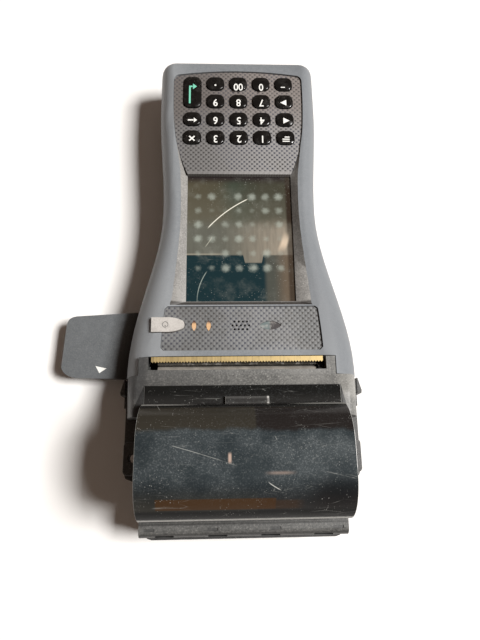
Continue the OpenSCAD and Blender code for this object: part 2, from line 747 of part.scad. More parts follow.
// Four shallow marks pressed into the top of the hinge bar.
mark_x = [for (t = [-3:2:3]) t * bar_half * 0.3];
mark_depth = 0.4;
knuckle_r = 2.5;
module window_solid(r, x) {
    across(-x, x) difference() {
        translate([roll_y, roll_z]) round_box(2 * r, 2 * r, r - window_square);
        square([tail_y + r, window_low]);
    }
}
module arm(s, y0, y1, z0, z1) {
    x = mech_x + s * (arm_in + arm_w / 2);
    box(x - arm_w / 2, x + arm_w / 2, y0, y1, z0, z1);
}
module lid_frame() {
    color("dimgray") difference() {
        union() {
            difference() {
                lid_skin(deck_y0, deck_y, 0, seal_z);
                lid_skin(deck_y0 + wall, deck_y - 2, wall, seal_z - 1);
                box(-rail_x + 0.6, rail_x - 0.6, split_y + 5.4, deck_y + 1, 0, 60);
            }
            // lip over the platen and the arms beside the blade
            box(mech_x - arm_out, mech_x + arm_out, platen_y - 2, deck_y0 + 1, ridge_z - 2.3,
                ridge_z - 0.3);
            for (s = [-1, 1]) {
                arm(s, mouth_y + 0.3, platen_y, platen_z + 3.6, ridge_z - 0.3);
                arm(s, platen_y - bush_r - 1.6, platen_y + bush_r + 1.6, platen_z - bush_r - 0.8,
                    ridge_z - 1);
                box(s * rail_x - rail_w / 2, s * rail_x + rail_w / 2, deck_y - 2.1, hinge_y - 2, seal_z,
                    window_low - 0.2);
            }
            // hinge bar
            difference() {
                union() {
                    rod(-bar_half, bar_half, hinge_y, hinge_z, bar_r);
                    box(-bar_half, bar_half, hinge_y - 4.6, hinge_y, hinge_z - 1.2, hinge_z + bar_r);
                }
                for (x = knuckle_x) {
                    rod(x - knuckle_w / 2 - gap, x + knuckle_w / 2 + gap, hinge_y, hinge_z,
                        knuckle_r + gap);
                    box(x - knuckle_w / 2 - gap, x + knuckle_w / 2 + gap, hinge_y - 3.5, hinge_y + 5,
                        0, hinge_z);
                    box(x - knuckle_w / 2 - gap, x + knuckle_w / 2 + gap, hinge_y + 1.4, hinge_y + 5,
                        0, hinge_z + bar_r * 0.68);
                }
                rod(-60, 60, hinge_y, hinge_z, pin_r + pin_gap);
                for (x = mark_x) box(x - 2.4, x + 2.4, hinge_y - 0.6, hinge_y + 0.6,
                    hinge_z + bar_r - mark_depth, 60);
            }
        }
        box(-window_w / 2 - 0.2, window_w / 2 + 0.2, split_y + 5.4, deck_y + 1,
            window_flat - window_t - 0.1, 60);
        window_solid(window_r + 0.2, window_w / 2 + 0.2);
        rod(mech_x - arm_in + 0.2, mech_x + arm_in - 0.2, platen_y, platen_z,
            gear_pitch(platen_teeth) + 0.9);
        for (s = [-1, 1]) rod(mech_x + s * bush_x - 1.3, mech_x + s * bush_x + 1.3, platen_y,
            platen_z, bush_r);
        rod(mech_x - arm_out + 0.9, mech_x + arm_out - 0.9, platen_y, platen_z, pin_r + 0.5);
    }
}

rib_w = 20;
rib_x = -1.8;
module lid_window() {
    flat_y0 = split_y + 5.5;
    color("dimgray", 0.6) difference() {
        union() {
            window_solid(window_r, window_w / 2);
            box(-window_w / 2, window_w / 2, flat_y0, roll_y - window_r + 1,
                window_flat - window_t, window_flat);
            box(rib_x - rib_w / 2, rib_x + rib_w / 2, flat_y0 + 5.2, flat_y0 + 9, window_flat - 1,
                window_flat + 1.5);
        }
        window_solid_inner();
    }
}
module window_solid_inner() {
    across(-window_w / 2 + window_t, window_w / 2 - window_t)
        translate([roll_y, roll_z]) round_box(2 * (window_r - window_t), 2 * (window_r - window_t),
            window_r - window_t - window_square);
}

module hinge_pin() {
    color("silver") rod(-bar_half + 1.5, bar_half - 1.5, hinge_y, hinge_z, pin_r);
}

module release_shaft() {
    color("silver") rod(-head_w / 2 - 0.2, head_w / 2 + 0.2, release_y, release_z, pin_r);
}
module release_levers() {
    x0 = head_w / 2 + 0.5;
    color("dimgray") difference() {
        union() for (s = [-1, 1]) mirror([s < 0 ? 1 : 0, 0, 0]) {
            rod(core_w / 2 + 0.6, x0 + 0.6, release_y, release_z, hub_r);
            // finger plate, flared outwards towards the tail, on a short leg
            translate([0, 0, release_z]) linear_extrude(parting_z + 2.6 - release_z)
                polygon([[x0, release_y - 11], [x0 + 0.5, release_y - 11], [x0 + 2.2, release_y - 4.8],
                    [x0 + 1.9, release_y - 3.4], [x0, release_y - 3.4]]);
            box(x0, x0 + 1.3, release_y - 6, release_y + 2, release_z - 2.6, release_z + 3);
        }
        rod(-60, 60, release_y, release_z, pin_r);
    }
    // catches behind the platen roller
    color("dimgray") difference() {
        for (s = [-1, 1]) translate([mech_x + s * catch_x - catch_w / 2, 0, 0]) {
            rod(0, catch_w, release_y, release_z, hub_r - 0.4);
            box(0, catch_w, release_y - 5.4, release_y - 3, release_z - 1.2, platen_z - 1);
            box(0, catch_w, release_y - 4, release_y, release_z - 1.2, release_z + 1.2);
        }
        rod(-60, 60, release_y, release_z, pin_r);
    }
}

module bay_profile(r) {
    difference() {
        translate([roll_y, roll_z]) circle(r = r, $fn = 96);
        translate([0, parting_z - 0.2]) square([tail_y + r, 2 * roll_d]);
    }
}
tray_r = window_r - window_t + 1.3;
tray_half = window_w / 2 - 3;
module paper_tray() {
    color("dimgray") difference() {
        across(-tray_half, tray_half) bay_profile(tray_r);
        across(-tray_half + 1.2, tray_half - 1.2) bay_profile(tray_r - 1.2);
    }
}

module lower_case() {
    color("slategray") difference() {
        union() {
            difference() {
                lower_skin(0, parting_z);
                difference() {
                    lower_skin(wall, parting_z + 1);
                    box(-well_half - wall, well_half + wall, well_y0 - wall, well_y1 + wall, -1,
                        well_top + wall);
                    for (s = [0, 1]) mirror([s, 0, 0])
                        box(window_w / 2 - 0.1, head_w / 2 + 2, split_y - 2, wall_end_y + 8,
                            under_z - 2, 40);
                    box(-head_w / 2, head_w / 2, hinge_y - 4.6, tail_y + 1, parting_z - 4.2, 40);
                    screw_posts(3.8, -1, parting_z);
                    box(-connector_w / 2 - 2, connector_w / 2 + 2, end_y, end_y + 12,
                        connector_z - connector_h / 2 - 2, parting_z - 1);
                }
            }
        }
        // battery well, open underneath
        box(-well_half, well_half, well_y0, well_y1, -1, well_top);
        // screw seats
        for (s = [-1, 1]) for (i = [0:2]) translate([s * screw_at[i][0], screw_at[i][1], 0]) {
            translate([0, 0, -1]) cylinder(r = head_r + screw_gap, h = seat_z(i) + 1);
            translate([0, 0, -1]) cylinder(r = screw_r + screw_gap, h = 40);
        }
        // hinge trough
        rod(-60, 60, hinge_y, hinge_z, bar_r + gap);
        box(-bar_half - 1, bar_half + 1, hinge_y - 5.2, hinge_y, hinge_z - 1.5, 60);
        // window of the scanner
        box(scan_x - scan_w / 2 - 0.1, scan_x + scan_w / 2 + 0.1, tail_y - 4, tail_y + 1,
            scan_z - scan_h / 2 - 0.1, scan_z + scan_h / 2 + 0.1);
        // dock connector
        box(-connector_w / 2, connector_w / 2, end_y - 1, end_y + 10, connector_z - connector_h / 2,
            connector_z + connector_h / 2);
        // card guide root
        box(wing_root - 0.1, core_w / 2 + 1, wing_y0 - 0.1, wing_y1 + 0.1, guide_z - guide_t - 0.1,
            guide_z + 0.1);
        // release shaft
        rod(-60, 60, release_y, release_z, pin_r + pin_gap);
        for (s = [-1, 1]) translate([s * lug_x, lug_y, 0]) cylinder(r = lug_bore + 0.4, h = 60);
    }
    color("slategray") difference() {
        for (x = knuckle_x) {
            rod(x - knuckle_w / 2, x + knuckle_w / 2, hinge_y, hinge_z, knuckle_r);
            box(x - knuckle_w / 2, x + knuckle_w / 2, hinge_y - 2, hinge_y + 1.2,
                hinge_z - bar_r - 1, hinge_z);
        }
        rod(-60, 60, hinge_y, hinge_z, pin_r + pin_gap);
    }
}
lug_w = head_over - 1.1;
lug_x = core_w / 2 + 0.5 + lug_w / 2;
module strap_lugs() {
    color("dimgray") for (s = [-1, 1]) difference() {
        translate([s * lug_x, lug_y, parting_z + 0.1]) linear_extrude(5) round_box(lug_w, lug_l, 2);
        translate([s * lug_x, lug_y, 0]) cylinder(r = lug_bore, h = 60);
    }
}

cover_rail = well_half - 1.3;
module battery_cover() {
    y = (cover_y0 + cover_y1) / 2;
    color("slategray") difference() {
        union() {
            translate([0, y, 0]) linear_extrude(cover_t - 2 * rim - 0.1) round_box(cover_w, cover_l, 4);
            for (s = [-1, 1]) box(s * cover_rail - 0.7, s * cover_rail + 0.7, cover_y0 + 16, cover_y1 - 10,
                cover_t - 0.6, cover_t + 2.4);
        }
        for (i = [0:4]) box(-9, 9, cover_y0 + 8 + 2.4 * i, cover_y0 + 9.2 + 2.4 * i, -1, 0.6);
    }
}

module battery_pack() {
    color("black") translate([0, (well_y0 + well_y1) / 2 - 1, cover_t + 0.4]) linear_extrude(battery_t)
        round_box(2 * well_half - 5, well_y1 - well_y0 - 4, 3);
}

module battery_contacts() {
    color("goldenrod") for (x = [-12, -4, 4, 12])
        box(x - 1.2, x + 1.2, well_y1 - 2.6, well_y1 - 0.1, cover_t + 3, well_top - 1);
}

module scan_engine() {
    color("dimgray") difference() {
        box(scan_x - 10.8, scan_x + 10.8, tail_y - 14.4, tail_y - 4.2, wall + 0.3, wall + 12);
        box(scan_x - 8.6, scan_x + 8.6, tail_y - 8, tail_y, scan_z - 3.4, scan_z + 3.4);
    }
}

module scan_window() {
    color("darkred") box(scan_x - scan_w / 2, scan_x + scan_w / 2, tail_y - 3, tail_y - 1.2,
        scan_z - scan_h / 2, scan_z + scan_h / 2);
}

module card_guide() {
    color("slategray") translate([0, 0, guide_z - guide_t]) linear_extrude(guide_t) union() {
        translate([wing_root, wing_y0 + 0.1]) square([core_w / 2 + 1 - wing_root, wing_y1 - wing_y0 - 0.2]);
        difference() {
            polygon([[core_w / 2, wing_y0 + 0.1], [guide_reach - 1.6, wing_y0 + 2.6],
                [guide_reach, wing_y1 - 2],
                [core_w / 2, wing_y1 - 0.1]]);
            for (p = [[guide_reach - 1.5, wing_y0 + 2.5, -1, 4.5], [guide_reach, wing_y1 - 2, 1, 7]])
                let (r = p[3]) difference() {
                    translate([p[0] - r / 2, p[1] - p[2] * r / 2]) square([r + 2, r + 2], center = true);
                    translate([p[0] - r, p[1] - p[2] * r]) circle(r = r);
                    translate([p[0] - 2 * r - 2, p[1] - 30]) square([r + 2, 60]);
                    translate([p[0] - 30, p[1] - p[2] * r - (p[2] > 0 ? 30 : 0)]) square([60, 30]);
                }
        }
    }
}

module card_head() {
    color("silver") difference() {
        box(core_w / 2 + 0.3, core_w / 2 + 6.8, wing_y0 + 14, wing_y0 + 24, guide_z + 1.2, under_z - 0.8);
        box(core_w / 2 - 1, core_w / 2 + 2.3, wing_y0 + 13, wing_y0 + 16, 0, 60);
    }
}

module case_screws() {
    color("silver") for (s = [-1, 1]) for (i = [0:2])
        translate([s * screw_at[i][0], screw_at[i][1], 0]) difference() {
            union() {
                translate([0, 0, seat_z(i) - 1.6]) cylinder(r = head_r, h = 1.6);
                translate([0, 0, seat_z(i) - 0.2]) cylinder(r = screw_r - 0.05, h = 22 - seat_z(i));
            }
            translate([0, 0, seat_z(i) - 2]) linear_extrude(1.2) square([0.7, 3.4], center = true);
            translate([0, 0, seat_z(i) - 2]) linear_extrude(1.2) square([3.4, 0.7], center = true);
        }
}

module dock_connector() {
    y = end_y + 5.4;
    color("black") difference() {
        union() {
            box(-connector_w / 2 + 0.2, connector_w / 2 - 0.2, y, end_y + 9.8,
                connector_z - connector_h / 2 + 0.2,
                connector_z + connector_h / 2 - 0.2);
        }
        box(-connector_w / 2 + 1.4, connector_w / 2 - 1.4, y - 1, y + 3, connector_z - 1.5,
            connector_z + 1.5);
    }
}

top_case();
lower_case();
front_panel();
display_glass();
lcd_module();
keypad_mat();
keypad_board();
main_board();
led_windows();
sensor_window();
speaker();
power_button();
tear_blade();
thermal_head();
head_heatsink();
head_springs();
printer_chassis();
feed_motor();
motor_pinion();
idler_gear();
idler_post();
platen_shaft();
platen_roller();
platen_gear();
platen_bushes();
lid_frame();
lid_window();
hinge_pin();
paper_tray();
release_shaft();
release_levers();
battery_cover();
battery_pack();
battery_contacts();
scan_engine();
scan_window();
card_guide();
card_head();
strap_lugs();
case_screws();
dock_connector();
key_fn();
key_1();
key_2();
key_3();
key_clear();
key_up_arrow();
key_4();
key_5();
key_6();
key_back();
key_down_arrow();
key_7();
key_8();
key_9();
key_minus();
key_0();
key_00();
key_dot();
key_enter();
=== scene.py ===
import math

import bpy
from mathutils import Matrix, Vector


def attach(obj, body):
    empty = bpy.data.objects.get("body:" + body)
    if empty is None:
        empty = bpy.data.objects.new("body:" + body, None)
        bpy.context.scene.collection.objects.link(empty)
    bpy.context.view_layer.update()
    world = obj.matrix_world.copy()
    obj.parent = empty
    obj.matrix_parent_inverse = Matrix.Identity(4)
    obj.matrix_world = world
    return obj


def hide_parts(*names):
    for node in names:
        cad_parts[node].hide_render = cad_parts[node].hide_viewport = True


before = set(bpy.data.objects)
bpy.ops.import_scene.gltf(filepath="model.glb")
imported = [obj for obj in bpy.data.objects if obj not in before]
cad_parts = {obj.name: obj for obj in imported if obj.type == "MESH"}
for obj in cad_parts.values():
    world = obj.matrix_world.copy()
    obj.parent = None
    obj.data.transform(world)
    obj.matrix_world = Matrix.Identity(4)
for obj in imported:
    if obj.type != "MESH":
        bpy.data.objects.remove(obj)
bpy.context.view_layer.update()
MM = 0.001

# Measures of the terminal, in millimetres, as in its source.
KEY_PITCH_X = 12.58
KEY_PITCH_Y = 11.42
FIRST_ROW_Y = -41.4
KEY_X = [-0.1 + (c - 2) * KEY_PITCH_X for c in range(5)]
KEY_Y = [FIRST_ROW_Y - r * KEY_PITCH_Y for r in range(4)]
KEY_TOP = 34.6
BUTTON_TOP = 35.0
GUIDE_TOP = 11.2
BAR_HALF = 47.4
HINGE_Y = 155.0
WINDOW_FLAT = 35.6

# Camera: place in millimetres, turns in degrees, lens in millimetres on a 36 mm sensor.
CAMERA_SPOT = (9.1, 124.7, 266.4)
CAMERA_TILT = 74.5
CAMERA_YAW = -2.07
CAMERA_ROLL = 0.33
CAMERA_LENS = 28.125
LAMP_FAR = 3.0
DIAMOND_PITCH = 0.0027


# ---------------------------------------------------------------- camera, light and floor
def place_camera():
    tilt, yaw, roll = (math.radians(turn) for turn in (CAMERA_TILT, CAMERA_YAW, CAMERA_ROLL))
    right = Vector((1, 0, 0))
    down = Vector((0, math.sin(tilt), -math.cos(tilt)))
    ahead = Vector((0, -math.cos(tilt), -math.sin(tilt)))
    right, ahead = (math.cos(yaw) * right + math.sin(yaw) * ahead,
                    -math.sin(yaw) * right + math.cos(yaw) * ahead)
    right, down = (math.cos(roll) * right + math.sin(roll) * down,
                   -math.sin(roll) * right + math.cos(roll) * down)
    flip = Matrix(((-1, 0, 0), (0, 1, 0), (0, 0, 1)))
    right, down, ahead = flip @ right, flip @ down, flip @ ahead
    data = bpy.data.cameras.new("camera")
    data.sensor_width = 36
    data.lens = CAMERA_LENS
    data.shift_x = -1 / 640
    data.clip_start = 0.01
    data.clip_end = 20
    cam = bpy.data.objects.new("camera", data)
    bpy.context.scene.collection.objects.link(cam)
    spot = Vector(CAMERA_SPOT) * MM
    turn = Matrix((right, -down, -ahead)).transposed().to_4x4()
    cam.matrix_world = Matrix.Translation(spot) @ turn
    bpy.context.scene.camera = cam


def light_the_table():
    """One tall window on the -x side, wider along the terminal than across it."""
    toward = Vector((-0.78, 0.03, 1.0)).normalized()
    data = bpy.data.lights.new("window light", "AREA")
    data.shape = "RECTANGLE"
    data.size = 1.1
    data.size_y = 0.80
    data.energy = 146
    data.color = (1.0, 0.985, 0.965)
    lamp = bpy.data.objects.new("window light", data)
    lamp.location = Vector((0, 0.03, 0.02)) + LAMP_FAR * toward
    lamp.rotation_euler = (-toward).to_track_quat("-Z", "Y").to_euler()
    bpy.context.scene.collection.objects.link(lamp)
    world = bpy.data.worlds.new("room")
    bpy.context.scene.world = world
    world.use_nodes = True
    sky = world.node_tree.nodes["Background"]
    sky.inputs["Color"].default_value = (1.0, 0.74, 0.58, 1)
    sky.inputs["Strength"].default_value = 0.105
    bpy.context.scene.view_settings.view_transform = "Standard"


# ---------------------------------------------------------------- node helpers
def new_material(name):
    mat = bpy.data.materials.new(name)
    mat.use_nodes = True
    return mat, mat.node_tree, mat.node_tree.nodes["Principled BSDF"]


def add(tree, kind, **settings):
    node = tree.nodes.new(kind)
    for key, value in settings.items():
        setattr(node, key, value)
    return node


def feed(tree, source, target):
    if hasattr(source, "is_output"):
        tree.links.new(source, target)
    else:
        target.default_value = source


def maths(tree, operation, *values, clamp=False):
    node = add(tree, "ShaderNodeMath", operation=operation, use_clamp=clamp)
    for i, value in enumerate(values):
        feed(tree, value, node.inputs[i])
    return node.outputs[0]


def mix(tree, factor, a, b):
    node = add(tree, "ShaderNodeMix", data_type="RGBA")
    feed(tree, factor, node.inputs[0])
    feed(tree, a, node.inputs[6])
    feed(tree, b, node.inputs[7])
    return node.outputs[2]


def spread(tree, value, low, high, to_low=0.0, to_high=1.0, smooth=True):
    node = add(tree, "ShaderNodeMapRange")
    if smooth:
        node.interpolation_type = "SMOOTHSTEP"
    feed(tree, value, node.inputs[0])
    for i, number in enumerate((low, high, to_low, to_high)):
        feed(tree, number, node.inputs[i + 1])
    return node.outputs[0]


def within(tree, value, low, high, soft):
    """1 where the value lies between low and high, with soft ends."""
    up = spread(tree, value, low - soft, low + soft)
    down = spread(tree, value, high + soft, high - soft)
    return maths(tree, "MULTIPLY", up, down)


def times(tree, *values):
    total = values[0]
    for value in values[1:]:
        total = maths(tree, "MULTIPLY", total, value)
    return total


def split(tree, where):
    parts = add(tree, "ShaderNodeSeparateXYZ")
    tree.links.new(where, parts.inputs[0])
    return parts.outputs


def arc_line(tree, where, centre, radius, width, x_low, x_high):
    """A thin scratch along an arc in the plane of the glass, between two places across it."""
    x, y = split(tree, where)[:2]
    dx = maths(tree, "SUBTRACT", x, centre[0])
    dy = maths(tree, "SUBTRACT", y, centre[1])
    away = maths(tree, "SQRT", maths(tree, "ADD", times(tree, dx, dx), times(tree, dy, dy)))
    off = maths(tree, "ABSOLUTE", maths(tree, "SUBTRACT", away, radius))
    return times(tree, spread(tree, off, width, width * 0.3), within(tree, x, x_low, x_high, 0.0008))


def noise(tree, where, scale, detail=3.0, rough=0.55):
    node = add(tree, "ShaderNodeTexNoise")
    feed(tree, where, node.inputs["Vector"])
    feed(tree, scale, node.inputs["Scale"])
    node.inputs["Detail"].default_value = detail
    node.inputs["Roughness"].default_value = rough
    return node.outputs["Fac"]


def shifted(tree, where, scale=(1, 1, 1), turn=(0, 0, 0), move=(0, 0, 0)):
    node = add(tree, "ShaderNodeMapping")
    feed(tree, where, node.inputs["Vector"])
    node.inputs["Location"].default_value = move
    node.inputs["Rotation"].default_value = turn
    node.inputs["Scale"].default_value = scale
    return node.outputs[0]


def coordinates(tree):
    return add(tree, "ShaderNodeTexCoord").outputs["Object"]


def bump(tree, shader, height, strength, distance):
    node = add(tree, "ShaderNodeBump")
    node.inputs["Strength"].default_value = strength
    node.inputs["Distance"].default_value = distance
    tree.links.new(height, node.inputs["Height"])
    tree.links.new(node.outputs[0], shader.inputs["Normal"])


def new_group(name, inputs, outputs):
    tree = bpy.data.node_groups.new(name, "ShaderNodeTree")
    for label, kind, value in inputs:
        socket = tree.interface.new_socket(label, in_out="INPUT", socket_type=kind)
        if value is not None:
            socket.default_value = value
    for label, kind in outputs:
        tree.interface.new_socket(label, in_out="OUTPUT", socket_type=kind)
    return tree, tree.nodes.new("NodeGroupInput"), tree.nodes.new("NodeGroupOutput")


def use_group(tree, group, where, **values):
    node = add(tree, "ShaderNodeGroup", node_tree=group)
    tree.links.new(where, node.inputs["Vector"])
    for label, value in values.items():
        node.inputs[label.replace("_", " ")].default_value = value
    return node


# ---------------------------------------------------------------- shared surface effects
def moulded_grain_group():
    tree, given, out = new_group(
        "moulded grain",
        [("Vector", "NodeSocketVector", None), ("Scale", "NodeSocketFloat", 1500.0)],
        [("Height", "NodeSocketFloat"), ("Tint", "NodeSocketFloat")])
    where, scale = given.outputs["Vector"], given.outputs["Scale"]
    fine = noise(tree, where, scale, 2, 0.6)
    coarse = noise(tree, where, maths(tree, "MULTIPLY", scale, 0.24), 3, 0.6)
    slow = noise(tree, where, 26.0, 4, 0.55)
    tree.links.new(maths(tree, "ADD", fine, maths(tree, "MULTIPLY", coarse, 0.6)), out.inputs["Height"])
    both = maths(tree, "ADD", maths(tree, "MULTIPLY", fine, 0.45), maths(tree, "MULTIPLY", coarse, 0.25))
    tree.links.new(maths(tree, "ADD", both, maths(tree, "MULTIPLY", slow, 0.3)), out.inputs["Tint"])
    return tree


def dust_group():
    tree, given, out = new_group(
        "dust specks",
        [("Vector", "NodeSocketVector", None), ("Scale", "NodeSocketFloat", 420.0),
         ("Amount", "NodeSocketFloat", 0.5)],
        [("Mask", "NodeSocketFloat")])
    where, scale, amount = (given.outputs[k] for k in ("Vector", "Scale", "Amount"))
    cells = add(tree, "ShaderNodeTexVoronoi")
    tree.links.new(where, cells.inputs["Vector"])
    tree.links.new(scale, cells.inputs["Scale"])
    tint = add(tree, "ShaderNodeSeparateColor")
    tree.links.new(cells.outputs["Color"], tint.inputs[0])
    size = spread(tree, tint.outputs[0], 0.62, 1.0, 0.0, 0.34)
    speck = maths(tree, "LESS_THAN", cells.outputs["Distance"], size)
    patch = spread(tree, noise(tree, where, 70.0, 3, 0.6), 0.42, 0.68)
    tree.links.new(maths(tree, "MULTIPLY", maths(tree, "MULTIPLY", speck, patch), amount), out.inputs["Mask"])
    return tree


def scratch_group():
    tree, given, out = new_group(
        "fine scratches",
        [("Vector", "NodeSocketVector", None), ("Scale", "NodeSocketFloat", 1.0),
         ("Amount", "NodeSocketFloat", 1.0)],
        [("Mask", "NodeSocketFloat")])
    where, scale, amount = (given.outputs[k] for k in ("Vector", "Scale", "Amount"))
    sized = add(tree, "ShaderNodeVectorMath", operation="SCALE")
    tree.links.new(where, sized.inputs[0])
    tree.links.new(scale, sized.inputs["Scale"])
    total = None
    for turn, stretch, limit in ((0.45, 9.0, 0.020), (-0.95, 7.0, 0.016), (2.2, 8.0, 0.015)):
        laid = shifted(tree, sized.outputs[0], (60.0, 60.0 * stretch, 60.0), (0, 0, turn), (turn * 3, 0, 0))
        cells = add(tree, "ShaderNodeTexVoronoi", feature="DISTANCE_TO_EDGE")
        tree.links.new(laid, cells.inputs["Vector"])
        cells.inputs["Scale"].default_value = 0.6
        line = spread(tree, cells.outputs["Distance"], limit, 0.0)
        broken = spread(tree, noise(tree, laid, 0.5, 2, 0.5), 0.60, 0.74)
        line = maths(tree, "MULTIPLY", line, broken)
        total = line if total is None else maths(tree, "MAXIMUM", total, line)
    tree.links.new(maths(tree, "MULTIPLY", total, amount), out.inputs["Mask"])
    return tree


def diamond_group():
    tree, given, out = new_group(
        "woven diamonds",
        [("Vector", "NodeSocketVector", None), ("Pitch", "NodeSocketFloat", DIAMOND_PITCH)],
        [("Height", "NodeSocketFloat"), ("Pit", "NodeSocketFloat"), ("Line", "NodeSocketFloat")])
    where, pitch = given.outputs["Vector"], given.outputs["Pitch"]
    x, y = split(tree, where)[:2]
    x = maths(tree, "DIVIDE", x, pitch)
    y = maths(tree, "DIVIDE", y, pitch)
    waves = []
    for sign in ("ADD", "SUBTRACT"):
        along = maths(tree, sign, x, y)
        waves.append(maths(tree, "ABSOLUTE", maths(tree, "SINE", maths(tree, "MULTIPLY", along, math.pi))))
    tree.links.new(times(tree, *waves), out.inputs["Height"])
    high = maths(tree, "MAXIMUM", *waves)
    tree.links.new(spread(tree, high, 0.92, 0.46), out.inputs["Pit"])
    low = maths(tree, "MINIMUM", *waves)
    tree.links.new(spread(tree, low, 0.34, 0.06), out.inputs["Line"])
    return tree


GRAIN = moulded_grain_group()
DUST = dust_group()
SCRATCH = scratch_group()
DIAMOND = diamond_group()


# ---------------------------------------------------------------- materials
def plastic(name, dark, light, rough, grain=1500.0, depth=0.00006, dust=0.25, coat=0.0, gloss=0.5,
            sparkle=0.0):
    """Moulded plastic with spark grain, slow tint changes, scuffs and a little dust."""
    mat, tree, shader = new_material(name)
    where = coordinates(tree)
    skin = use_group(tree, GRAIN, where, Scale=grain)
    specks = use_group(tree, DUST, where, Scale=1300.0, Amount=dust)
    scuffs = use_group(tree, SCRATCH, where, Scale=1.0, Amount=0.22)
    colour = mix(tree, spread(tree, skin.outputs["Tint"], 0.36, 0.64), dark, light)
    if sparkle:
        coarse = noise(tree, where, 1150.0, 2, 0.75)
        colour = mix(tree, times(tree, spread(tree, coarse, 0.54, 0.70), sparkle), colour,
                     (0.42, 0.41, 0.38, 1))
        colour = mix(tree, times(tree, spread(tree, coarse, 0.46, 0.32), sparkle), colour,
                     (0.02, 0.02, 0.02, 1))
    worn = [min(1, c * 1.4 + 0.06) for c in light[:3]] + [1]
    colour = mix(tree, scuffs.outputs["Mask"], colour, worn)
    colour = mix(tree, specks.outputs["Mask"], colour, (0.50, 0.48, 0.44, 1))
    tree.links.new(colour, shader.inputs["Base Color"])
    base = spread(tree, skin.outputs["Tint"], 0.3, 0.7, rough - 0.06, rough + 0.06)
    tree.links.new(base, shader.inputs["Roughness"])
    shader.inputs["Coat Weight"].default_value = coat
    shader.inputs["Specular IOR Level"].default_value = gloss
    bump(tree, shader, skin.outputs["Height"], 0.45, depth)
    return mat


def tinted(mat, colour, place):
    """Mixes a colour into a finished material wherever place(tree, x, y, z) says."""
    tree = mat.node_tree
    slot = tree.nodes["Principled BSDF"].inputs["Base Color"]
    before = slot.links[0].from_socket
    mask = place(tree, *split(tree, coordinates(tree)))
    tree.links.new(mix(tree, mask, before, colour), slot)


def surround_plastic(name):
    """Coarse warm grey slopes about the display, with painted shade along their lower end."""
    mat, tree, shader = new_material(name)
    where = coordinates(tree)
    y = split(tree, where)[1]
    skin = use_group(tree, GRAIN, where, Scale=1250.0)
    colour = mix(tree, spread(tree, skin.outputs["Tint"], 0.36, 0.64), (0.175, 0.170, 0.162, 1),
                 (0.300, 0.290, 0.275, 1))
    coarse = noise(tree, where, 1100.0, 2, 0.7)
    colour = mix(tree, times(tree, spread(tree, coarse, 0.55, 0.72), 0.22), colour, (0.55, 0.53, 0.50, 1))
    # painted shade over the slope at the lower end of the dish
    end_shade = times(tree, spread(tree, y, 0.0498, 0.0510), 0.88)
    colour = mix(tree, end_shade, colour, (0.030, 0.026, 0.023, 1))
    specks = use_group(tree, DUST, where, Scale=1100.0, Amount=0.35)
    colour = mix(tree, specks.outputs["Mask"], colour, (0.62, 0.60, 0.56, 1))
    tree.links.new(colour, shader.inputs["Base Color"])
    tree.links.new(spread(tree, skin.outputs["Tint"], 0.3, 0.7, 0.52, 0.64), shader.inputs["Roughness"])
    bump(tree, shader, skin.outputs["Height"], 0.6, 0.00012)
    return mat


def panel_plastic(name):
    """Overlay pressed with round pillows: dark pits at the crossings, browner about the keys."""
    mat, tree, shader = new_material(name)
    where = coordinates(tree)
    y = split(tree, where)[1]
    cloth = use_group(tree, DIAMOND, where, Pitch=DIAMOND_PITCH)
    skin = use_group(tree, GRAIN, where, Scale=1700.0)
    slow = noise(tree, where, 48.0, 3, 0.6)
    keys = spread(tree, maths(tree, "ADD", y, times(tree, slow, 0.024)), -0.028, -0.052)
    crest = mix(tree, spread(tree, slow, 0.35, 0.65), (0.160, 0.164, 0.165, 1), (0.222, 0.228, 0.230, 1))
    upper = mix(tree, keys, (0.290, 0.282, 0.278, 1), (0.225, 0.197, 0.182, 1))
    crest = mix(tree, spread(tree, y, 0.030, 0.0), crest, upper)
    valley = mix(tree, spread(tree, slow, 0.42, 0.60), (0.022, 0.021, 0.021, 1), (0.028, 0.033, 0.056, 1))
    pit = maths(tree, "MAXIMUM", cloth.outputs["Pit"], times(tree, cloth.outputs["Line"], 0.52))
    plain = within(tree, y, -0.0214, 0.05, 0.0003)
    pit = times(tree, pit, spread(tree, keys, 0.0, 1.0, 1.0, 0.80), maths(tree, "SUBTRACT", 1.0, plain))
    colour = mix(tree, pit, crest, valley)
    colour = mix(tree, times(tree, spread(tree, skin.outputs["Tint"], 0.42, 0.66), 0.30), colour,
                 (0.30, 0.285, 0.275, 1))
    specks = use_group(tree, DUST, where, Scale=1300.0, Amount=0.35)
    colour = mix(tree, specks.outputs["Mask"], colour, (0.55, 0.50, 0.45, 1))
    tree.links.new(colour, shader.inputs["Base Color"])
    tree.links.new(spread(tree, pit, 0.0, 1.0, 0.48, 0.62), shader.inputs["Roughness"])
    height = maths(tree, "ADD", cloth.outputs["Height"], times(tree, skin.outputs["Height"], 0.10))
    bump(tree, shader, height, 0.5, 0.00016)
    return mat


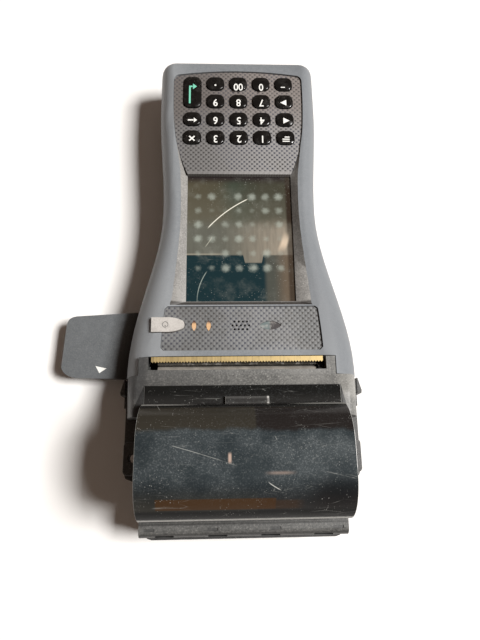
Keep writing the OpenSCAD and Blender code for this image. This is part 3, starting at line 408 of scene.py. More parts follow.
def finger_marks(tree, where):
    """Seven columns and six rows of uneven finger marks, left by taps on the same places."""
    x, y = split(tree, where)[:2]
    cell_x = maths(tree, "DIVIDE", maths(tree, "ADD", x, 0.0204), 0.0070)
    cell_y = maths(tree, "DIVIDE", maths(tree, "ADD", y, 0.0079), 0.0080)
    column, row = maths(tree, "ROUND", cell_x), maths(tree, "ROUND", cell_y)
    wave = maths(tree, "ADD", maths(tree, "ADD", times(tree, column, 1.32), times(tree, row, 6.99)), 0.2)
    strong = maths(tree, "FRACT", times(tree, maths(tree, "SINE", wave), 9.7))
    dx = maths(tree, "SUBTRACT", cell_x, column)
    dy = maths(tree, "SUBTRACT", cell_y, row)
    apart = maths(tree, "SQRT", maths(tree, "ADD", times(tree, dx, dx), times(tree, dy, dy, 1.35)))
    apart = maths(tree, "ADD", apart,
                  times(tree, maths(tree, "SUBTRACT", noise(tree, where, 700.0, 3, 0.65), 0.5), 0.36))
    size = spread(tree, strong, 0.0, 1.0, 0.22, 0.37)
    mark = spread(tree, maths(tree, "DIVIDE", apart, size), 1.25, 0.10)
    inside = times(tree, within(tree, cell_x, -0.5, 6.5, 0.01), within(tree, cell_y, -0.5, 5.5, 0.01))
    return times(tree, mark, inside, spread(tree, strong, 0.0, 0.9, 0.10, 0.62, False))


def display_material(name):
    """Worn touch panel over a dark display: painted reflections of the room, a painted glint, painted shadow
    along two edges, haze, rows of finger marks and scratches.
    """
    mat, tree, shader = new_material(name)
    where = coordinates(tree)
    x, y = split(tree, where)[:2]
    soft = maths(tree, "SUBTRACT", noise(tree, where, 42.0, 4, 0.6), 0.5)
    streak = noise(tree, shifted(tree, where, (520.0, 60.0, 60.0), (0, 0, 0.35)), 1.0, 3, 0.6)
    # painted reflections of the room on the dark display: olive, green-grey and brown across it, lighter
    # brown toward the middle, and painted shadow of the keypad panel's lip along the keypad end
    across = spread(tree, maths(tree, "ADD", x, times(tree, soft, 0.03)), -0.022, 0.022)
    colour = mix(tree, spread(tree, across, 0.0, 0.45), (0.048, 0.047, 0.033, 1), (0.045, 0.056, 0.041, 1))
    colour = mix(tree, spread(tree, across, 0.45, 1.0), colour, (0.072, 0.064, 0.042, 1))
    colour = mix(tree, spread(tree, y, -0.016, 0.006, 0.0, 0.45), colour, (0.125, 0.120, 0.092, 1))
    colour = mix(tree, spread(tree, y, -0.0145, -0.0195), colour, (0.024, 0.018, 0.018, 1))
    # painted reflection of the room: a wide pale band over the middle, lighter and browner toward -x, with
    # streaks
    pale_patch = spread(tree, maths(tree, "ADD", y, times(tree, soft, 0.010)), 0.003, 0.011)
    brown = mix(tree, spread(tree, x, 0.012, -0.022), (0.110, 0.112, 0.092, 1), (0.265, 0.232, 0.185, 1))
    brown = mix(tree, times(tree, spread(tree, streak, 0.40, 0.66), 0.26), brown, (0.075, 0.074, 0.062, 1))
    brown = mix(tree, times(tree, spread(tree, soft, 0.02, 0.16), 0.4), brown, (0.20, 0.185, 0.155, 1))
    colour = mix(tree, pale_patch, colour, brown)
    # painted reflection over the lower part, dark teal, with an olive strip at one side turning brown toward
    # the edge, and a pale line along part of its upper edge
    step = times(tree, within(tree, x, -0.0112, -0.0018, 0.0006), 0.0042)
    lower_area = spread(tree, maths(tree, "SUBTRACT", y, step), 0.0246, 0.0256)
    line = times(tree, within(tree, y, 0.0243, 0.0249, 0.0003), spread(tree, x, 0.004, 0.014))
    colour = mix(tree, times(tree, line, 0.55), colour, (0.42, 0.38, 0.30, 1))
    lower = mix(tree, spread(tree, x, -0.0112, -0.0140), (0.0070, 0.0245, 0.0305, 1),
                (0.064, 0.068, 0.058, 1))
    lower = mix(tree, spread(tree, x, -0.0160, -0.0235), lower, (0.120, 0.092, 0.066, 1))
    colour = mix(tree, lower_area, colour, lower)
    glint = arc_line(tree, where, (0.0, 0.0110), 0.0238, 0.0026, -0.0255, -0.0190)
    glint = times(tree, glint, within(tree, y, 0.0145, 0.0215, 0.0035))
    colour = mix(tree, times(tree, glint, 0.85), colour, (0.66, 0.53, 0.40, 1))
    # painted shadow of the surround along the glass's -x edge
    edge = times(tree, spread(tree, x, -0.0234, -0.0250), spread(tree, pale_patch, 0.0, 1.0, 1.0, 0.75))
    edge = times(tree, edge, maths(tree, "SUBTRACT", 1.0, glint))
    colour = mix(tree, edge, colour, (0.028, 0.019, 0.013, 1))
    haze = times(tree, spread(tree, noise(tree, where, 110.0, 5, 0.7), 0.48, 0.74), 0.16)
    colour = mix(tree, haze, colour, (0.26, 0.27, 0.24, 1))
    mark = finger_marks(tree, where)
    colour = mix(tree, mark, colour, (0.37, 0.41, 0.36, 1))
    long = arc_line(tree, where, (-0.03588, 0.05454), 0.06879, 0.00036, -0.0038, 0.0162)
    bent = arc_line(tree, where, (-0.00674, 0.0498), 0.02858, 0.00030, 0.0172, 0.0218)
    bent = times(tree, bent, spread(tree, y, 0.033, 0.035))
    short = arc_line(tree, where, (0.0508, -0.0046), 0.0414, 0.00030, 0.0142, 0.0177)
    short = times(tree, short, within(tree, y, 0.0150, 0.0206, 0.0004))
    colour = mix(tree, times(tree, bent, 0.7), colour, (0.36, 0.42, 0.38, 1))
    colour = mix(tree, times(tree, short, 0.6), colour, (0.50, 0.50, 0.42, 1))
    colour = mix(tree, long, colour, (0.80, 0.78, 0.68, 1))
    fine = use_group(tree, SCRATCH, where, Scale=2.2, Amount=0.30)
    colour = mix(tree, fine.outputs["Mask"], colour, (0.36, 0.36, 0.31, 1))
    specks = use_group(tree, DUST, where, Scale=1500.0, Amount=0.40)
    colour = mix(tree, specks.outputs["Mask"], colour, (0.45, 0.46, 0.42, 1))
    tree.links.new(colour, shader.inputs["Base Color"])
    rough = maths(tree, "ADD", 0.14, times(tree, maths(tree, "MAXIMUM", mark, haze), 0.5))
    tree.links.new(rough, shader.inputs["Roughness"])
    shader.inputs["Coat Weight"].default_value = 0.3
    shader.inputs["Coat Roughness"].default_value = 0.1
    return mat


def smoked_window(name):
    """Smoked clear plastic: dust and fine wear on the crown, a painted reflection at its front, painted shade
    at its +x side and rear, painted highlights on its rib and edges, a bare strip inside the lid.
    """
    mat, tree, shader = new_material(name)
    where = coordinates(tree)
    x, y, z = split(tree, where)
    fine = use_group(tree, SCRATCH, where, Scale=1.6, Amount=0.35)
    specks = use_group(tree, DUST, where, Scale=1500.0, Amount=0.34)
    grit = spread(tree, noise(tree, where, 1500.0, 3, 0.8), 0.50, 0.66)
    cloud = noise(tree, where, 60.0, 5, 0.62)
    wobble = maths(tree, "ADD", y, times(tree, maths(tree, "SUBTRACT", cloud, 0.5), 0.006))
    crown = times(tree, spread(tree, wobble, 0.1118, 0.1142), spread(tree, wobble, 0.1440, 0.1340, 0.35, 1.0))
    front = spread(tree, y, 0.1022, 0.1040)
    colour = mix(tree, front, (0.0095, 0.0095, 0.0090, 1), (0.019, 0.016, 0.015, 1))
    # painted reflection: a brownish patch on the crown's front, toward +x
    colour = mix(tree, times(tree, within(tree, x, -0.0045, 0.060, 0.0006), front), colour,
                 (0.036, 0.032, 0.025, 1))
    worn = mix(tree, spread(tree, cloud, 0.35, 0.68), (0.026, 0.034, 0.038, 1), (0.054, 0.065, 0.070, 1))
    # painted shade: the crown darker at its rear, its rear -x corner and toward +x, mixed into its worn
    # colour
    shade = times(tree, spread(tree, x, -0.020, -0.034), spread(tree, y, 0.1290, 0.1360), 0.50)
    shade = maths(tree, "ADD", shade, spread(tree, y, 0.1300, 0.1385, 0.0, 0.40))
    shade = maths(tree, "ADD", shade, spread(tree, x, 0.008, 0.042, 0.0, 0.22))
    worn = mix(tree, shade, worn, (0.008, 0.009, 0.010, 1))
    flat = times(tree, spread(tree, y, 0.0945, 0.0995), spread(tree, y, 0.1022, 0.1010))
    colour = mix(tree, times(tree, flat, 0.8), colour, (0.024, 0.023, 0.022, 1))
    colour = mix(tree, crown, colour, worn)
    # painted shade: near black on the rear face
    colour = mix(tree, spread(tree, y, 0.1440, 0.1460), colour, (0.004, 0.004, 0.004, 1))
    # painted light on the finger rib: a lighter top and a painted highlight at its -x end
    rib = times(tree, within(tree, x, -0.0119, 0.0083, 0.0003), spread(tree, z, (WINDOW_FLAT + 0.3) * MM,
                                                                     (WINDOW_FLAT + 0.9) * MM))
    rib = times(tree, rib, spread(tree, y, 0.1014, 0.1011))
    sides = maths(tree, "SUBTRACT", 1.0, times(tree, within(tree, y, 0.0982, 0.1001, 0.0004), 0.7))
    colour = mix(tree, times(tree, rib, sides, 0.75), colour, (0.085, 0.083, 0.080, 1))
    colour = mix(tree, times(tree, rib, sides, spread(tree, x, -0.0106, -0.0111), 0.8), colour,
                 (0.62, 0.60, 0.57, 1))
    strip = times(tree, within(tree, x, -0.012, 0.0368, 0.0004), within(tree, y, 0.1402, 0.1446, 0.0003))
    strip = maths(tree, "MAXIMUM", strip, times(tree, within(tree, x, -0.022, -0.008, 0.003),
                                                within(tree, y, 0.1410, 0.1446, 0.0006), 0.5))
    colour = mix(tree, times(tree, strip, 0.75), colour, (0.062, 0.028, 0.009, 1))
    wear = maths(tree, "SUBTRACT", spread(tree, crown, 0.0, 1.0, 0.12, 0.52), times(tree, shade, 0.5),
                 clamp=True)
    wear = times(tree, wear, spread(tree, cloud, 0.38, 0.62, 0.40, 1.0))
    colour = mix(tree, times(tree, grit, wear), colour, (0.20, 0.215, 0.22, 1))
    marks = maths(tree, "MAXIMUM", fine.outputs["Mask"], specks.outputs["Mask"])
    nick = arc_line(tree, where, (-0.0280, 0.1090), 0.0315, 0.00026, -0.0136, -0.0092)
    long = arc_line(tree, where, (0.1652, 0.6007), 0.5, 0.00020, 0.0040, 0.0300)
    side = arc_line(tree, where, (0.0785, 0.6178), 0.5, 0.00022, -0.0440, -0.0330)
    long = maths(tree, "MAXIMUM", long, side)
    marks = maths(tree, "MAXIMUM", marks, times(tree, nick, spread(tree, y, 0.120, 0.122), 0.8))
    marks = maths(tree, "MAXIMUM", marks, times(tree, long, spread(tree, cloud, 0.36, 0.56), 0.42))
    spot = times(tree, within(tree, x, 0.0060, 0.0072, 0.0004), within(tree, y, 0.1226, 0.1262, 0.0008))
    pale_patch = times(tree, within(tree, x, -0.0185, -0.0095, 0.003), within(tree, y, 0.1300, 0.1310, 0.0006))
    colour = mix(tree, times(tree, maths(tree, "MAXIMUM", spot, times(tree, pale_patch, 0.4)), 0.75), colour,
                 (0.60, 0.44, 0.36, 1))
    colour = mix(tree, times(tree, marks, 0.8), colour, (0.66, 0.66, 0.62, 1))
    # painted highlights: lighter bevelled edges, a rim seen at grazing angles along the fold and the rear
    # edge, and a white highlight on the drum's -x end
    facing = add(tree, "ShaderNodeTexCoord").outputs["Normal"]
    outward = maths(tree, "ABSOLUTE", split(tree, facing)[0])
    edge = within(tree, outward, 0.20, 0.86, 0.10)
    rim = spread(tree, add(tree, "ShaderNodeLayerWeight").outputs["Facing"], 0.70, 0.80)
    fold = times(tree, spread(tree, y, 0.1045, 0.1030), spread(tree, z, 0.0366, 0.0370),
                 spread(tree, maths(tree, "ABSOLUTE", x), 0.018, 0.034))
    rim = times(tree, rim, maths(tree, "MAXIMUM", fold, spread(tree, y, 0.1440, 0.1460)))
    edge = maths(tree, "MAXIMUM", edge, rim)
    colour = mix(tree, times(tree, edge, 0.85), colour, (0.46, 0.46, 0.44, 1))
    glow = times(tree, edge, spread(tree, x, -0.0440, -0.0444), within(tree, y, 0.1140, 0.1290, 0.001))
    colour = mix(tree, glow, colour, (0.95, 0.94, 0.92, 1))
    tree.links.new(colour, shader.inputs["Base Color"])
    shader.inputs["Specular IOR Level"].default_value = 0.10
    shader.inputs["Transmission Weight"].default_value = 0.06
    shader.inputs["IOR"].default_value = 1.49
    rough = maths(tree, "ADD", times(tree, crown, cloud, 0.30), 0.16)
    rough = maths(tree, "ADD", rough, spread(tree, y, 0.136, 0.146, 0.0, 0.30))
    rough = maths(tree, "ADD", rough, times(tree, marks, 0.4))
    tree.links.new(rough, shader.inputs["Roughness"])
    bump(tree, shader, maths(tree, "SUBTRACT", 1.0, marks), 0.25, 0.00004)
    return mat


def metal(name, colour, rough, brushed=(1.0, 1.0, 40.0), depth=0.00002, stain=0.4):
    """Drawn or rolled metal: streaks along its length, dull stains."""
    mat, tree, shader = new_material(name)
    where = coordinates(tree)
    streak = noise(tree, shifted(tree, where, tuple(60.0 * b for b in brushed)), 1.0, 3, 0.6)
    spots = spread(tree, noise(tree, where, 240.0, 4, 0.65), 0.5, 0.72)
    dull = tuple(c * 0.55 for c in colour[:3]) + (1,)
    tone = mix(tree, spread(tree, streak, 0.3, 0.7), tuple(c * 0.86 for c in colour[:3]) + (1,), colour)
    tree.links.new(mix(tree, maths(tree, "MULTIPLY", spots, stain), tone, dull), shader.inputs["Base Color"])
    shader.inputs["Metallic"].default_value = 1.0
    tree.links.new(spread(tree, streak, 0.3, 0.7, rough - 0.08, rough + 0.10), shader.inputs["Roughness"])
    bump(tree, shader, streak, 0.3, depth)
    return mat


def rubber(name, dark, light, rough=0.7):
    mat, tree, shader = new_material(name)
    where = coordinates(tree)
    skin = use_group(tree, GRAIN, where, Scale=1900.0)
    patch = spread(tree, noise(tree, where, 120.0, 4, 0.6), 0.4, 0.7)
    colour = mix(tree, patch, dark, light)
    tree.links.new(colour, shader.inputs["Base Color"])
    tree.links.new(spread(tree, patch, 0.0, 1.0, rough - 0.1, rough + 0.1), shader.inputs["Roughness"])
    bump(tree, shader, skin.outputs["Height"], 0.5, 0.00005)
    return mat


def key_plastic(name):
    """Glossy black key caps with finger grease and small nicks."""
    mat, tree, shader = new_material(name)
    where = coordinates(tree)
    grease = spread(tree, noise(tree, where, 260.0, 4, 0.6), 0.42, 0.68)
    specks = use_group(tree, DUST, where, Scale=1500.0, Amount=0.4)
    colour = mix(tree, grease, (0.0060, 0.0055, 0.0052, 1), (0.013, 0.012, 0.011, 1))
    colour = mix(tree, specks.outputs["Mask"], colour, (0.30, 0.27, 0.24, 1))
    tree.links.new(colour, shader.inputs["Base Color"])
    tree.links.new(spread(tree, grease, 0.0, 1.0, 0.16, 0.36), shader.inputs["Roughness"])
    bump(tree, shader, noise(tree, where, 900.0, 3, 0.6), 0.12, 0.00005)
    return mat


def ink(name, colour):
    """Printed legends, slightly worn through."""
    mat, tree, shader = new_material(name)
    where = coordinates(tree)
    worn = spread(tree, noise(tree, where, 1400.0, 3, 0.6), 0.60, 0.74)
    tree.links.new(mix(tree, worn, colour, tuple(c * 0.45 for c in colour[:3]) + (1,)),
                   shader.inputs["Base Color"])
    tree.links.new(spread(tree, worn, 0.0, 1.0, 0.45, 0.6), shader.inputs["Roughness"])
    return mat


def lens(name, first, second, axis, place, rough=0.2):
    """A small moulded lens, one half showing what lies behind it: the tint changes along an axis."""
    mat, tree, shader = new_material(name)
    where = coordinates(tree)
    tint = noise(tree, where, 420.0, 3, 0.6)
    along = maths(tree, "ADD", split(tree, where)[axis],
                  times(tree, maths(tree, "SUBTRACT", tint, 0.5), 0.0012))
    colour = mix(tree, spread(tree, along, place - 0.0008, place + 0.0008), first, second)
    colour = mix(tree, times(tree, spread(tree, tint, 0.50, 0.66), 0.3), colour, (0.55, 0.52, 0.48, 1))
    tree.links.new(colour, shader.inputs["Base Color"])
    tree.links.new(spread(tree, tint, 0.3, 0.7, rough, rough + 0.15), shader.inputs["Roughness"])
    shader.inputs["Coat Weight"].default_value = 0.3
    return mat


def board_material(name):
    """Green circuit board with copper tracks under its mask."""
    mat, tree, shader = new_material(name)
    where = coordinates(tree)
    tracks = add(tree, "ShaderNodeTexBrick")
    tree.links.new(where, tracks.inputs["Vector"])
    tracks.inputs["Scale"].default_value = 220.0
    tracks.inputs["Color1"].default_value = (0.012, 0.075, 0.030, 1)
    tracks.inputs["Color2"].default_value = (0.018, 0.100, 0.040, 1)
    tracks.inputs["Mortar"].default_value = (0.045, 0.16, 0.06, 1)
    tree.links.new(tracks.outputs["Color"], shader.inputs["Base Color"])
    tree.links.new(spread(tree, noise(tree, where, 400.0), 0.3, 0.7, 0.3, 0.5), shader.inputs["Roughness"])
    bump(tree, shader, tracks.outputs["Fac"], 0.3, 0.00005)
    return mat


def table_top(name):
    """Pale table: a white card that keeps the soft shadow of the terminal."""
    mat, tree, shader = new_material(name)
    where = coordinates(tree)
    slow = noise(tree, where, 5.0, 3, 0.5)
    fine = noise(tree, where, 700.0, 3, 0.6)
    tone = mix(tree, slow, (0.92, 0.905, 0.885, 1), (0.96, 0.95, 0.94, 1))
    tone = mix(tree, maths(tree, "MULTIPLY", fine, 0.12), tone, (0.80, 0.78, 0.76, 1))
    tree.links.new(tone, shader.inputs["Base Color"])
    tree.links.new(spread(tree, fine, 0.3, 0.7, 0.75, 0.9), shader.inputs["Roughness"])
    return mat


def hinge_marks(tree, x, y, z):
    """Painted shade on the floors of the four shallow marks along the hinge bar."""
    from_pair = maths(tree, "ABSOLUTE",
                      maths(tree, "SUBTRACT", maths(tree, "ABSOLUTE", x), 0.6 * BAR_HALF * MM))
    from_mark = maths(tree, "ABSOLUTE", maths(tree, "SUBTRACT", from_pair, 0.3 * BAR_HALF * MM))
    long = spread(tree, from_mark, 0.0026, 0.0023)
    thin = spread(tree, maths(tree, "ABSOLUTE", maths(tree, "SUBTRACT", y, HINGE_Y * MM)), 0.0008, 0.0005)
    return times(tree, long, thin, 0.7)


def bar_grooves(tree, x, y, z):
    """Painted shade in a double groove along the front of the hinge bar, and on its underside."""
    groove = times(tree, within(tree, y, 0.1500, 0.1532, 0.0003), spread(tree, z, 0.0225, 0.0235))
    between = within(tree, y, 0.15195, 0.15235, 0.0002)
    groove = times(tree, groove, maths(tree, "SUBTRACT", 1.0, times(tree, between, 0.85)), 0.68)
    return maths(tree, "MAXIMUM", groove, spread(tree, y, 0.1564, 0.1572, 0.0, 0.60))


def flared_corners(tree, x, y, z):
    """Dark corners of the frame, where the window's flat widens toward its drum."""
    one = spread(tree, maths(tree, "SUBTRACT", x, times(tree, y, 0.44)), 0.0052, 0.0049)
    other = spread(tree, maths(tree, "ADD", x, times(tree, y, 0.21)), -0.0264, -0.0261)
    both = times(tree, one, other)
    return times(tree, both, within(tree, y, 0.0918, 0.1060, 0.0003), spread(tree, z, 0.0345, 0.0350), 0.9)


SLATE = plastic("slate case plastic", (0.170, 0.184, 0.198, 1), (0.228, 0.242, 0.257, 1), 0.56, 1700.0,
                0.00005, 0.10, gloss=0.4, sparkle=0.05)
# painted light on the case's +x side, away from the lamp, and painted shade on its -x side
tinted(SLATE, (0.33, 0.345, 0.36, 1), lambda t, x, y, z: spread(t, x, 0.022, 0.042, 0.0, 0.60))
tinted(SLATE, (0.150, 0.160, 0.172, 1), lambda t, x, y, z: spread(t, x, -0.024, -0.040, 0.0, 0.62))
GUIDE = plastic("card guide plastic", (0.100, 0.108, 0.114, 1), (0.144, 0.153, 0.160, 1), 0.54, 1700.0,
                0.00004, 0.10, sparkle=0.10)
# painted shadow of the case across the card guide's root
tinted(GUIDE, (0.012, 0.012, 0.013, 1),
       lambda t, x, y, z: spread(t, maths(t, "SUBTRACT", x, times(t, y, 0.28)), 0.0455, 0.0365, 0.0, 0.85))
SURROUND = surround_plastic("display surround plastic")
PANEL = panel_plastic("woven panel print")
# painted shade: the panels darker toward +x, away from the lamp, more at the keypad end
tinted(PANEL, (0.035, 0.033, 0.032, 1),
       lambda t, x, y, z: times(t, spread(t, x, -0.018, 0.026), spread(t, y, -0.020, 0.055, 0.46, 0.28)))
DARK = plastic("printer cover plastic", (0.088, 0.088, 0.084, 1), (0.168, 0.166, 0.158, 1), 0.50, 1300.0,
               0.00014, 0.20, gloss=0.6, sparkle=0.45)
tinted(DARK, (0.012, 0.012, 0.013, 1), lambda t, x, y, z: spread(t, y, 0.1465, 0.1500, 0.0, 0.34))
# painted shade on the frame's +x flank, away from the lamp
tinted(DARK, (0.030, 0.030, 0.031, 1),
       lambda t, x, y, z: times(t, spread(t, x, 0.0425, 0.0470, 0.0, 0.70), spread(t, y, 0.1000, 0.0960)))
# painted highlight on the frame's -x flank, which faces the lamp
tinted(DARK, (0.40, 0.39, 0.36, 1),
       lambda t, x, y, z: times(t, spread(t, x, -0.0420, -0.0470, 0.0, 0.35), spread(t, y, 0.1000, 0.0960)))
# painted shade: the frame darker toward +x
tinted(DARK, (0.030, 0.030, 0.031, 1),
       lambda t, x, y, z: times(t, spread(t, x, -0.004, 0.036, 0.0, 0.48), spread(t, y, 0.1400, 0.1300)))
# painted light: the frame's front lighter toward -x
tinted(DARK, (0.36, 0.35, 0.33, 1),
       lambda t, x, y, z: times(t, within(t, x, -0.040, -0.022, 0.008), spread(t, y, 0.1000, 0.0960), 0.20))
tinted(DARK, (0.012, 0.012, 0.012, 1), flared_corners)
tinted(DARK, (0.012, 0.012, 0.012, 1), bar_grooves)
tinted(DARK, (0.030, 0.030, 0.030, 1), hinge_marks)
SHADE = plastic("lower case plastic", (0.040, 0.040, 0.040, 1), (0.085, 0.084, 0.082, 1), 0.52, 1300.0,
                0.00012, 0.20, sparkle=0.2)
# painted shade on the lower case's tail under the hinge bar
tinted(SHADE, (0.010, 0.010, 0.010, 1), lambda t, x, y, z: spread(t, y, 0.1565, 0.1575, 0.0, 0.65))
WINDOW = smoked_window("smoked cover window")
DISPLAY_FACE = display_material("worn touch display")
KEYS = key_plastic("black key plastic")
WHITE_INK = ink("white legend ink", (0.86, 0.86, 0.82, 1))
GREEN_INK = ink("green legend ink", (0.20, 0.62, 0.45, 1))
GREY_INK = ink("grey legend ink", (0.16, 0.155, 0.15, 1))
SILVER = plastic("silver button paint", (0.42, 0.395, 0.37, 1), (0.56, 0.535, 0.505, 1), 0.40, 1500.0,
                 0.00003, 0.25, 0.2)
BRASS = metal("tear blade brass", (0.58, 0.45, 0.225, 1), 0.55, (20.0, 0.4, 0.4), 0.00003, 0.45)
STEEL = metal("steel", (0.60, 0.60, 0.61, 1), 0.34)
AGED = metal("aged aluminium", (0.16, 0.145, 0.13, 1), 0.50, (1.0, 30.0, 1.0), 0.00003, 0.5)
PLATEN = rubber("platen rubber", (0.24, 0.22, 0.195, 1), (0.37, 0.34, 0.30, 1))
MAT_RUBBER = rubber("keypad rubber", (0.20, 0.20, 0.20, 1), (0.27, 0.27, 0.27, 1))
AMBER = lens("indicator lens", (0.10, 0.055, 0.045, 1), (0.66, 0.41, 0.22, 1), 1, 0.0615, 0.3)
BLUE = lens("sensor lens", (0.070, 0.064, 0.066, 1), (0.150, 0.185, 0.185, 1), 0, -0.0136, 0.25)
RED = lens("scan window", (0.05, 0.004, 0.004, 1), (0.10, 0.008, 0.008, 1), 0, 0.0, 0.08)
BOARD = board_material("circuit board")
GEAR = plastic("gear plastic", (0.010, 0.010, 0.010, 1), (0.022, 0.022, 0.022, 1), 0.4, 2400.0, 0.00002, 0.2)
CERAMIC = lens("thermal head glaze", (0.050, 0.045, 0.038, 1), (0.075, 0.070, 0.062, 1), 0, 0.0, 0.2)
WRAP = plastic("battery wrap", (0.014, 0.015, 0.018, 1), (0.024, 0.025, 0.030, 1), 0.5, 900.0, 0.00002, 0.15)


# ---------------------------------------------------------------- modelling helpers
def clear_selection():
    if bpy.context.object and bpy.context.object.mode != "OBJECT":
        bpy.ops.object.mode_set(mode="OBJECT")
    bpy.ops.object.select_all(action="DESELECT")


def pick(obj):
    clear_selection()
    obj.select_set(True)
    bpy.context.view_layer.objects.active = obj


def select_faces(obj, test):
    """Leaves obj in edit mode with the faces selected that test(centre, normal) accepts, in millimetres."""
    pick(obj)
    bpy.ops.object.mode_set(mode="EDIT")
    bpy.ops.mesh.select_mode(type="FACE")
    bpy.ops.mesh.select_all(action="DESELECT")
    bpy.ops.object.mode_set(mode="OBJECT")
    count = 0
    for face in obj.data.polygons:
        face.select = bool(test(face.center / MM, face.normal))
        count += face.select
    bpy.ops.object.mode_set(mode="EDIT")
    return count


def apply_modifiers(obj):
    pick(obj)
    for modifier in list(obj.modifiers):
        bpy.ops.object.modifier_apply(modifier=modifier.name)


def round_edges(obj, width, segments=2, angle=35):
    edge = obj.modifiers.new("edges", "BEVEL")
    edge.width = width * MM
    edge.segments = segments
    edge.limit_method = "ANGLE"
    edge.angle_limit = math.radians(angle)
    edge.use_clamp_overlap = True
    edge.harden_normals = False
    apply_modifiers(obj)


def smooth(obj, angle=35, weighted=True):
    pick(obj)
    bpy.ops.object.shade_smooth_by_angle(angle=math.radians(angle))
    if weighted:
        even = obj.modifiers.new("even normals", "WEIGHTED_NORMAL")
        even.keep_sharp = True
        apply_modifiers(obj)


def settle(obj, body, material, nodes=()):
    """Applies the place of a finished piece to its mesh and lets it ride on its body."""
    pick(obj)
    bpy.ops.object.transform_apply(location=True, rotation=True, scale=True)
    obj.data.materials.clear()
    obj.data.materials.append(material)
    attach(obj, body)
    if nodes:
        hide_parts(*nodes)
    return obj


def merged_copy(node, name):
    """A copy of a CAD node with its loose triangles joined and its flat faces made whole."""
    obj = bpy.data.objects.new(name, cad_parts[node].data.copy())
    bpy.context.scene.collection.objects.link(obj)
    obj.data.materials.clear()
    pick(obj)
    bpy.ops.object.mode_set(mode="EDIT")
    bpy.ops.mesh.select_all(action="SELECT")
    bpy.ops.mesh.remove_doubles(threshold=0.000004)
    bpy.ops.mesh.customdata_custom_splitnormals_clear()
    bpy.ops.mesh.dissolve_limited(angle_limit=math.radians(0.4))
    bpy.ops.object.mode_set(mode="OBJECT")
    return obj


def dressed(node, name, body, material, width=0.25, segments=2, angle=35):
    """The CAD node's own shape with rounded edges and even shading."""
    obj = merged_copy(node, name)
    if width:
        round_edges(obj, width, segments, angle)
    smooth(obj, angle)
    return settle(obj, body, material, (node,))


# ---------------------------------------------------------------- pieces
def in_display_dish(centre, normal):
    """The sloping surround of the display: faces that lean in toward the glass."""
    inside = -43.4 < centre.y < 53.2 and abs(centre.x) < 38 and centre.z > 29
    ledge = centre.z < 33.4 and abs(centre.x) < 28.5
    return inside and (normal.x * centre.x < -0.02 * abs(centre.x) or ledge)


def case_shells():
    shell = dressed("top_case", "upper_shell", "case", SLATE, 0.22, 2, 32)
    shell.data.materials.append(SURROUND)
    select_faces(shell, in_display_dish)
    shell.active_material_index = 1
    bpy.ops.object.material_slot_assign()
    bpy.ops.object.mode_set(mode="OBJECT")
    dressed("lower_case", "lower_shell", "case", SHADE, 0.22, 2, 32)
    dressed("card_guide", "card_guide_plate", "case", GUIDE, 0.9, 3, 40)
    dressed("strap_lugs", "strap_lug_pads", "case", SHADE, 0.7, 3, 35)
    dressed("battery_cover", "battery_door_plate", "battery_door", SHADE, 0.5, 3, 35)


def front_panels():
    dressed("front_panel", "keypad_and_speaker_panels", "case", PANEL, 0.25, 2, 28)


def key_caps():
    names = [["key_fn", "key_1", "key_2", "key_3", "key_clear"],
             ["key_up_arrow", "key_4", "key_5", "key_6", "key_back"],
             ["key_down_arrow", "key_7", "key_8", "key_9", None],
             ["key_minus", "key_0", "key_00", "key_dot", "key_enter"]]
    for r, row in enumerate(names):
        for c, node in enumerate(row):
            if not node:
                continue
            obj = merged_copy(node, node.replace("key_", "cap_"))
            for grow, lift in ((-1.0, 0.30), (-1.1, 0.22), (-1.0, 0.08)):
                top = max(v.co.z for v in obj.data.vertices) / MM
                select_faces(obj, lambda p, n: n.z > 0.99 and p.z > top - 0.02)
                bpy.ops.mesh.inset(thickness=-grow * MM, depth=0)
                bpy.ops.transform.translate(value=(0, 0, lift * MM))
                bpy.ops.object.mode_set(mode="OBJECT")
            round_edges(obj, 0.28, 3, 50)
            smooth(obj, 55)
            settle(obj, node + "_cap", KEYS, (node,))
            legend(node, KEY_X[c], KEY_Y[r] + (5.71 if node == "key_enter" else 0))


LEGENDS = {"key_1": "1", "key_2": "2", "key_3": "3", "key_4": "4", "key_5": "5", "key_6": "6", "key_7": "7",
           "key_8": "8", "key_9": "9", "key_0": "0", "key_00": "00"}

# Plain marks of the other keys: sides (3 is an arrow head), place on the cap, width, length and
# turn in degrees.
KEY_MARKS = {
    "key_dot": [(16, 0.0, -0.9, 1.1, 1.1, 0)],
    "key_minus": [(4, 0.5, 0.1, 2.3, 0.6, 0)],
    "key_up_arrow": [(3, -0.1, -0.1, 3.7, 3.4, 90)],
    "key_down_arrow": [(3, 0.1, -0.1, 3.7, 3.4, -90)],
    "key_back": [(3, -1.5, 0.0, 3.0, 1.8, 90), (4, 0.8, 0.0, 3.0, 0.85, 0)],
    "key_clear": [(4, 0.0, 0.0, 4.0, 0.75, 45), (4, 0.0, 0.0, 4.0, 0.75, -45)],
    "key_fn": [(4, 0.0, 1.4, 3.8, 0.65, 0), (4, 0.0, 0.1, 3.8, 0.65, 0), (4, -0.6, -1.2, 2.6, 0.65, 0)],
    "key_enter": [(3, -1.0, -4.4, 3.6, 2.2, 90), (4, 0.9, -4.4, 1.9, 0.95, 0), (4, 1.4, 1.3, 0.95, 10.6, 0)],
}


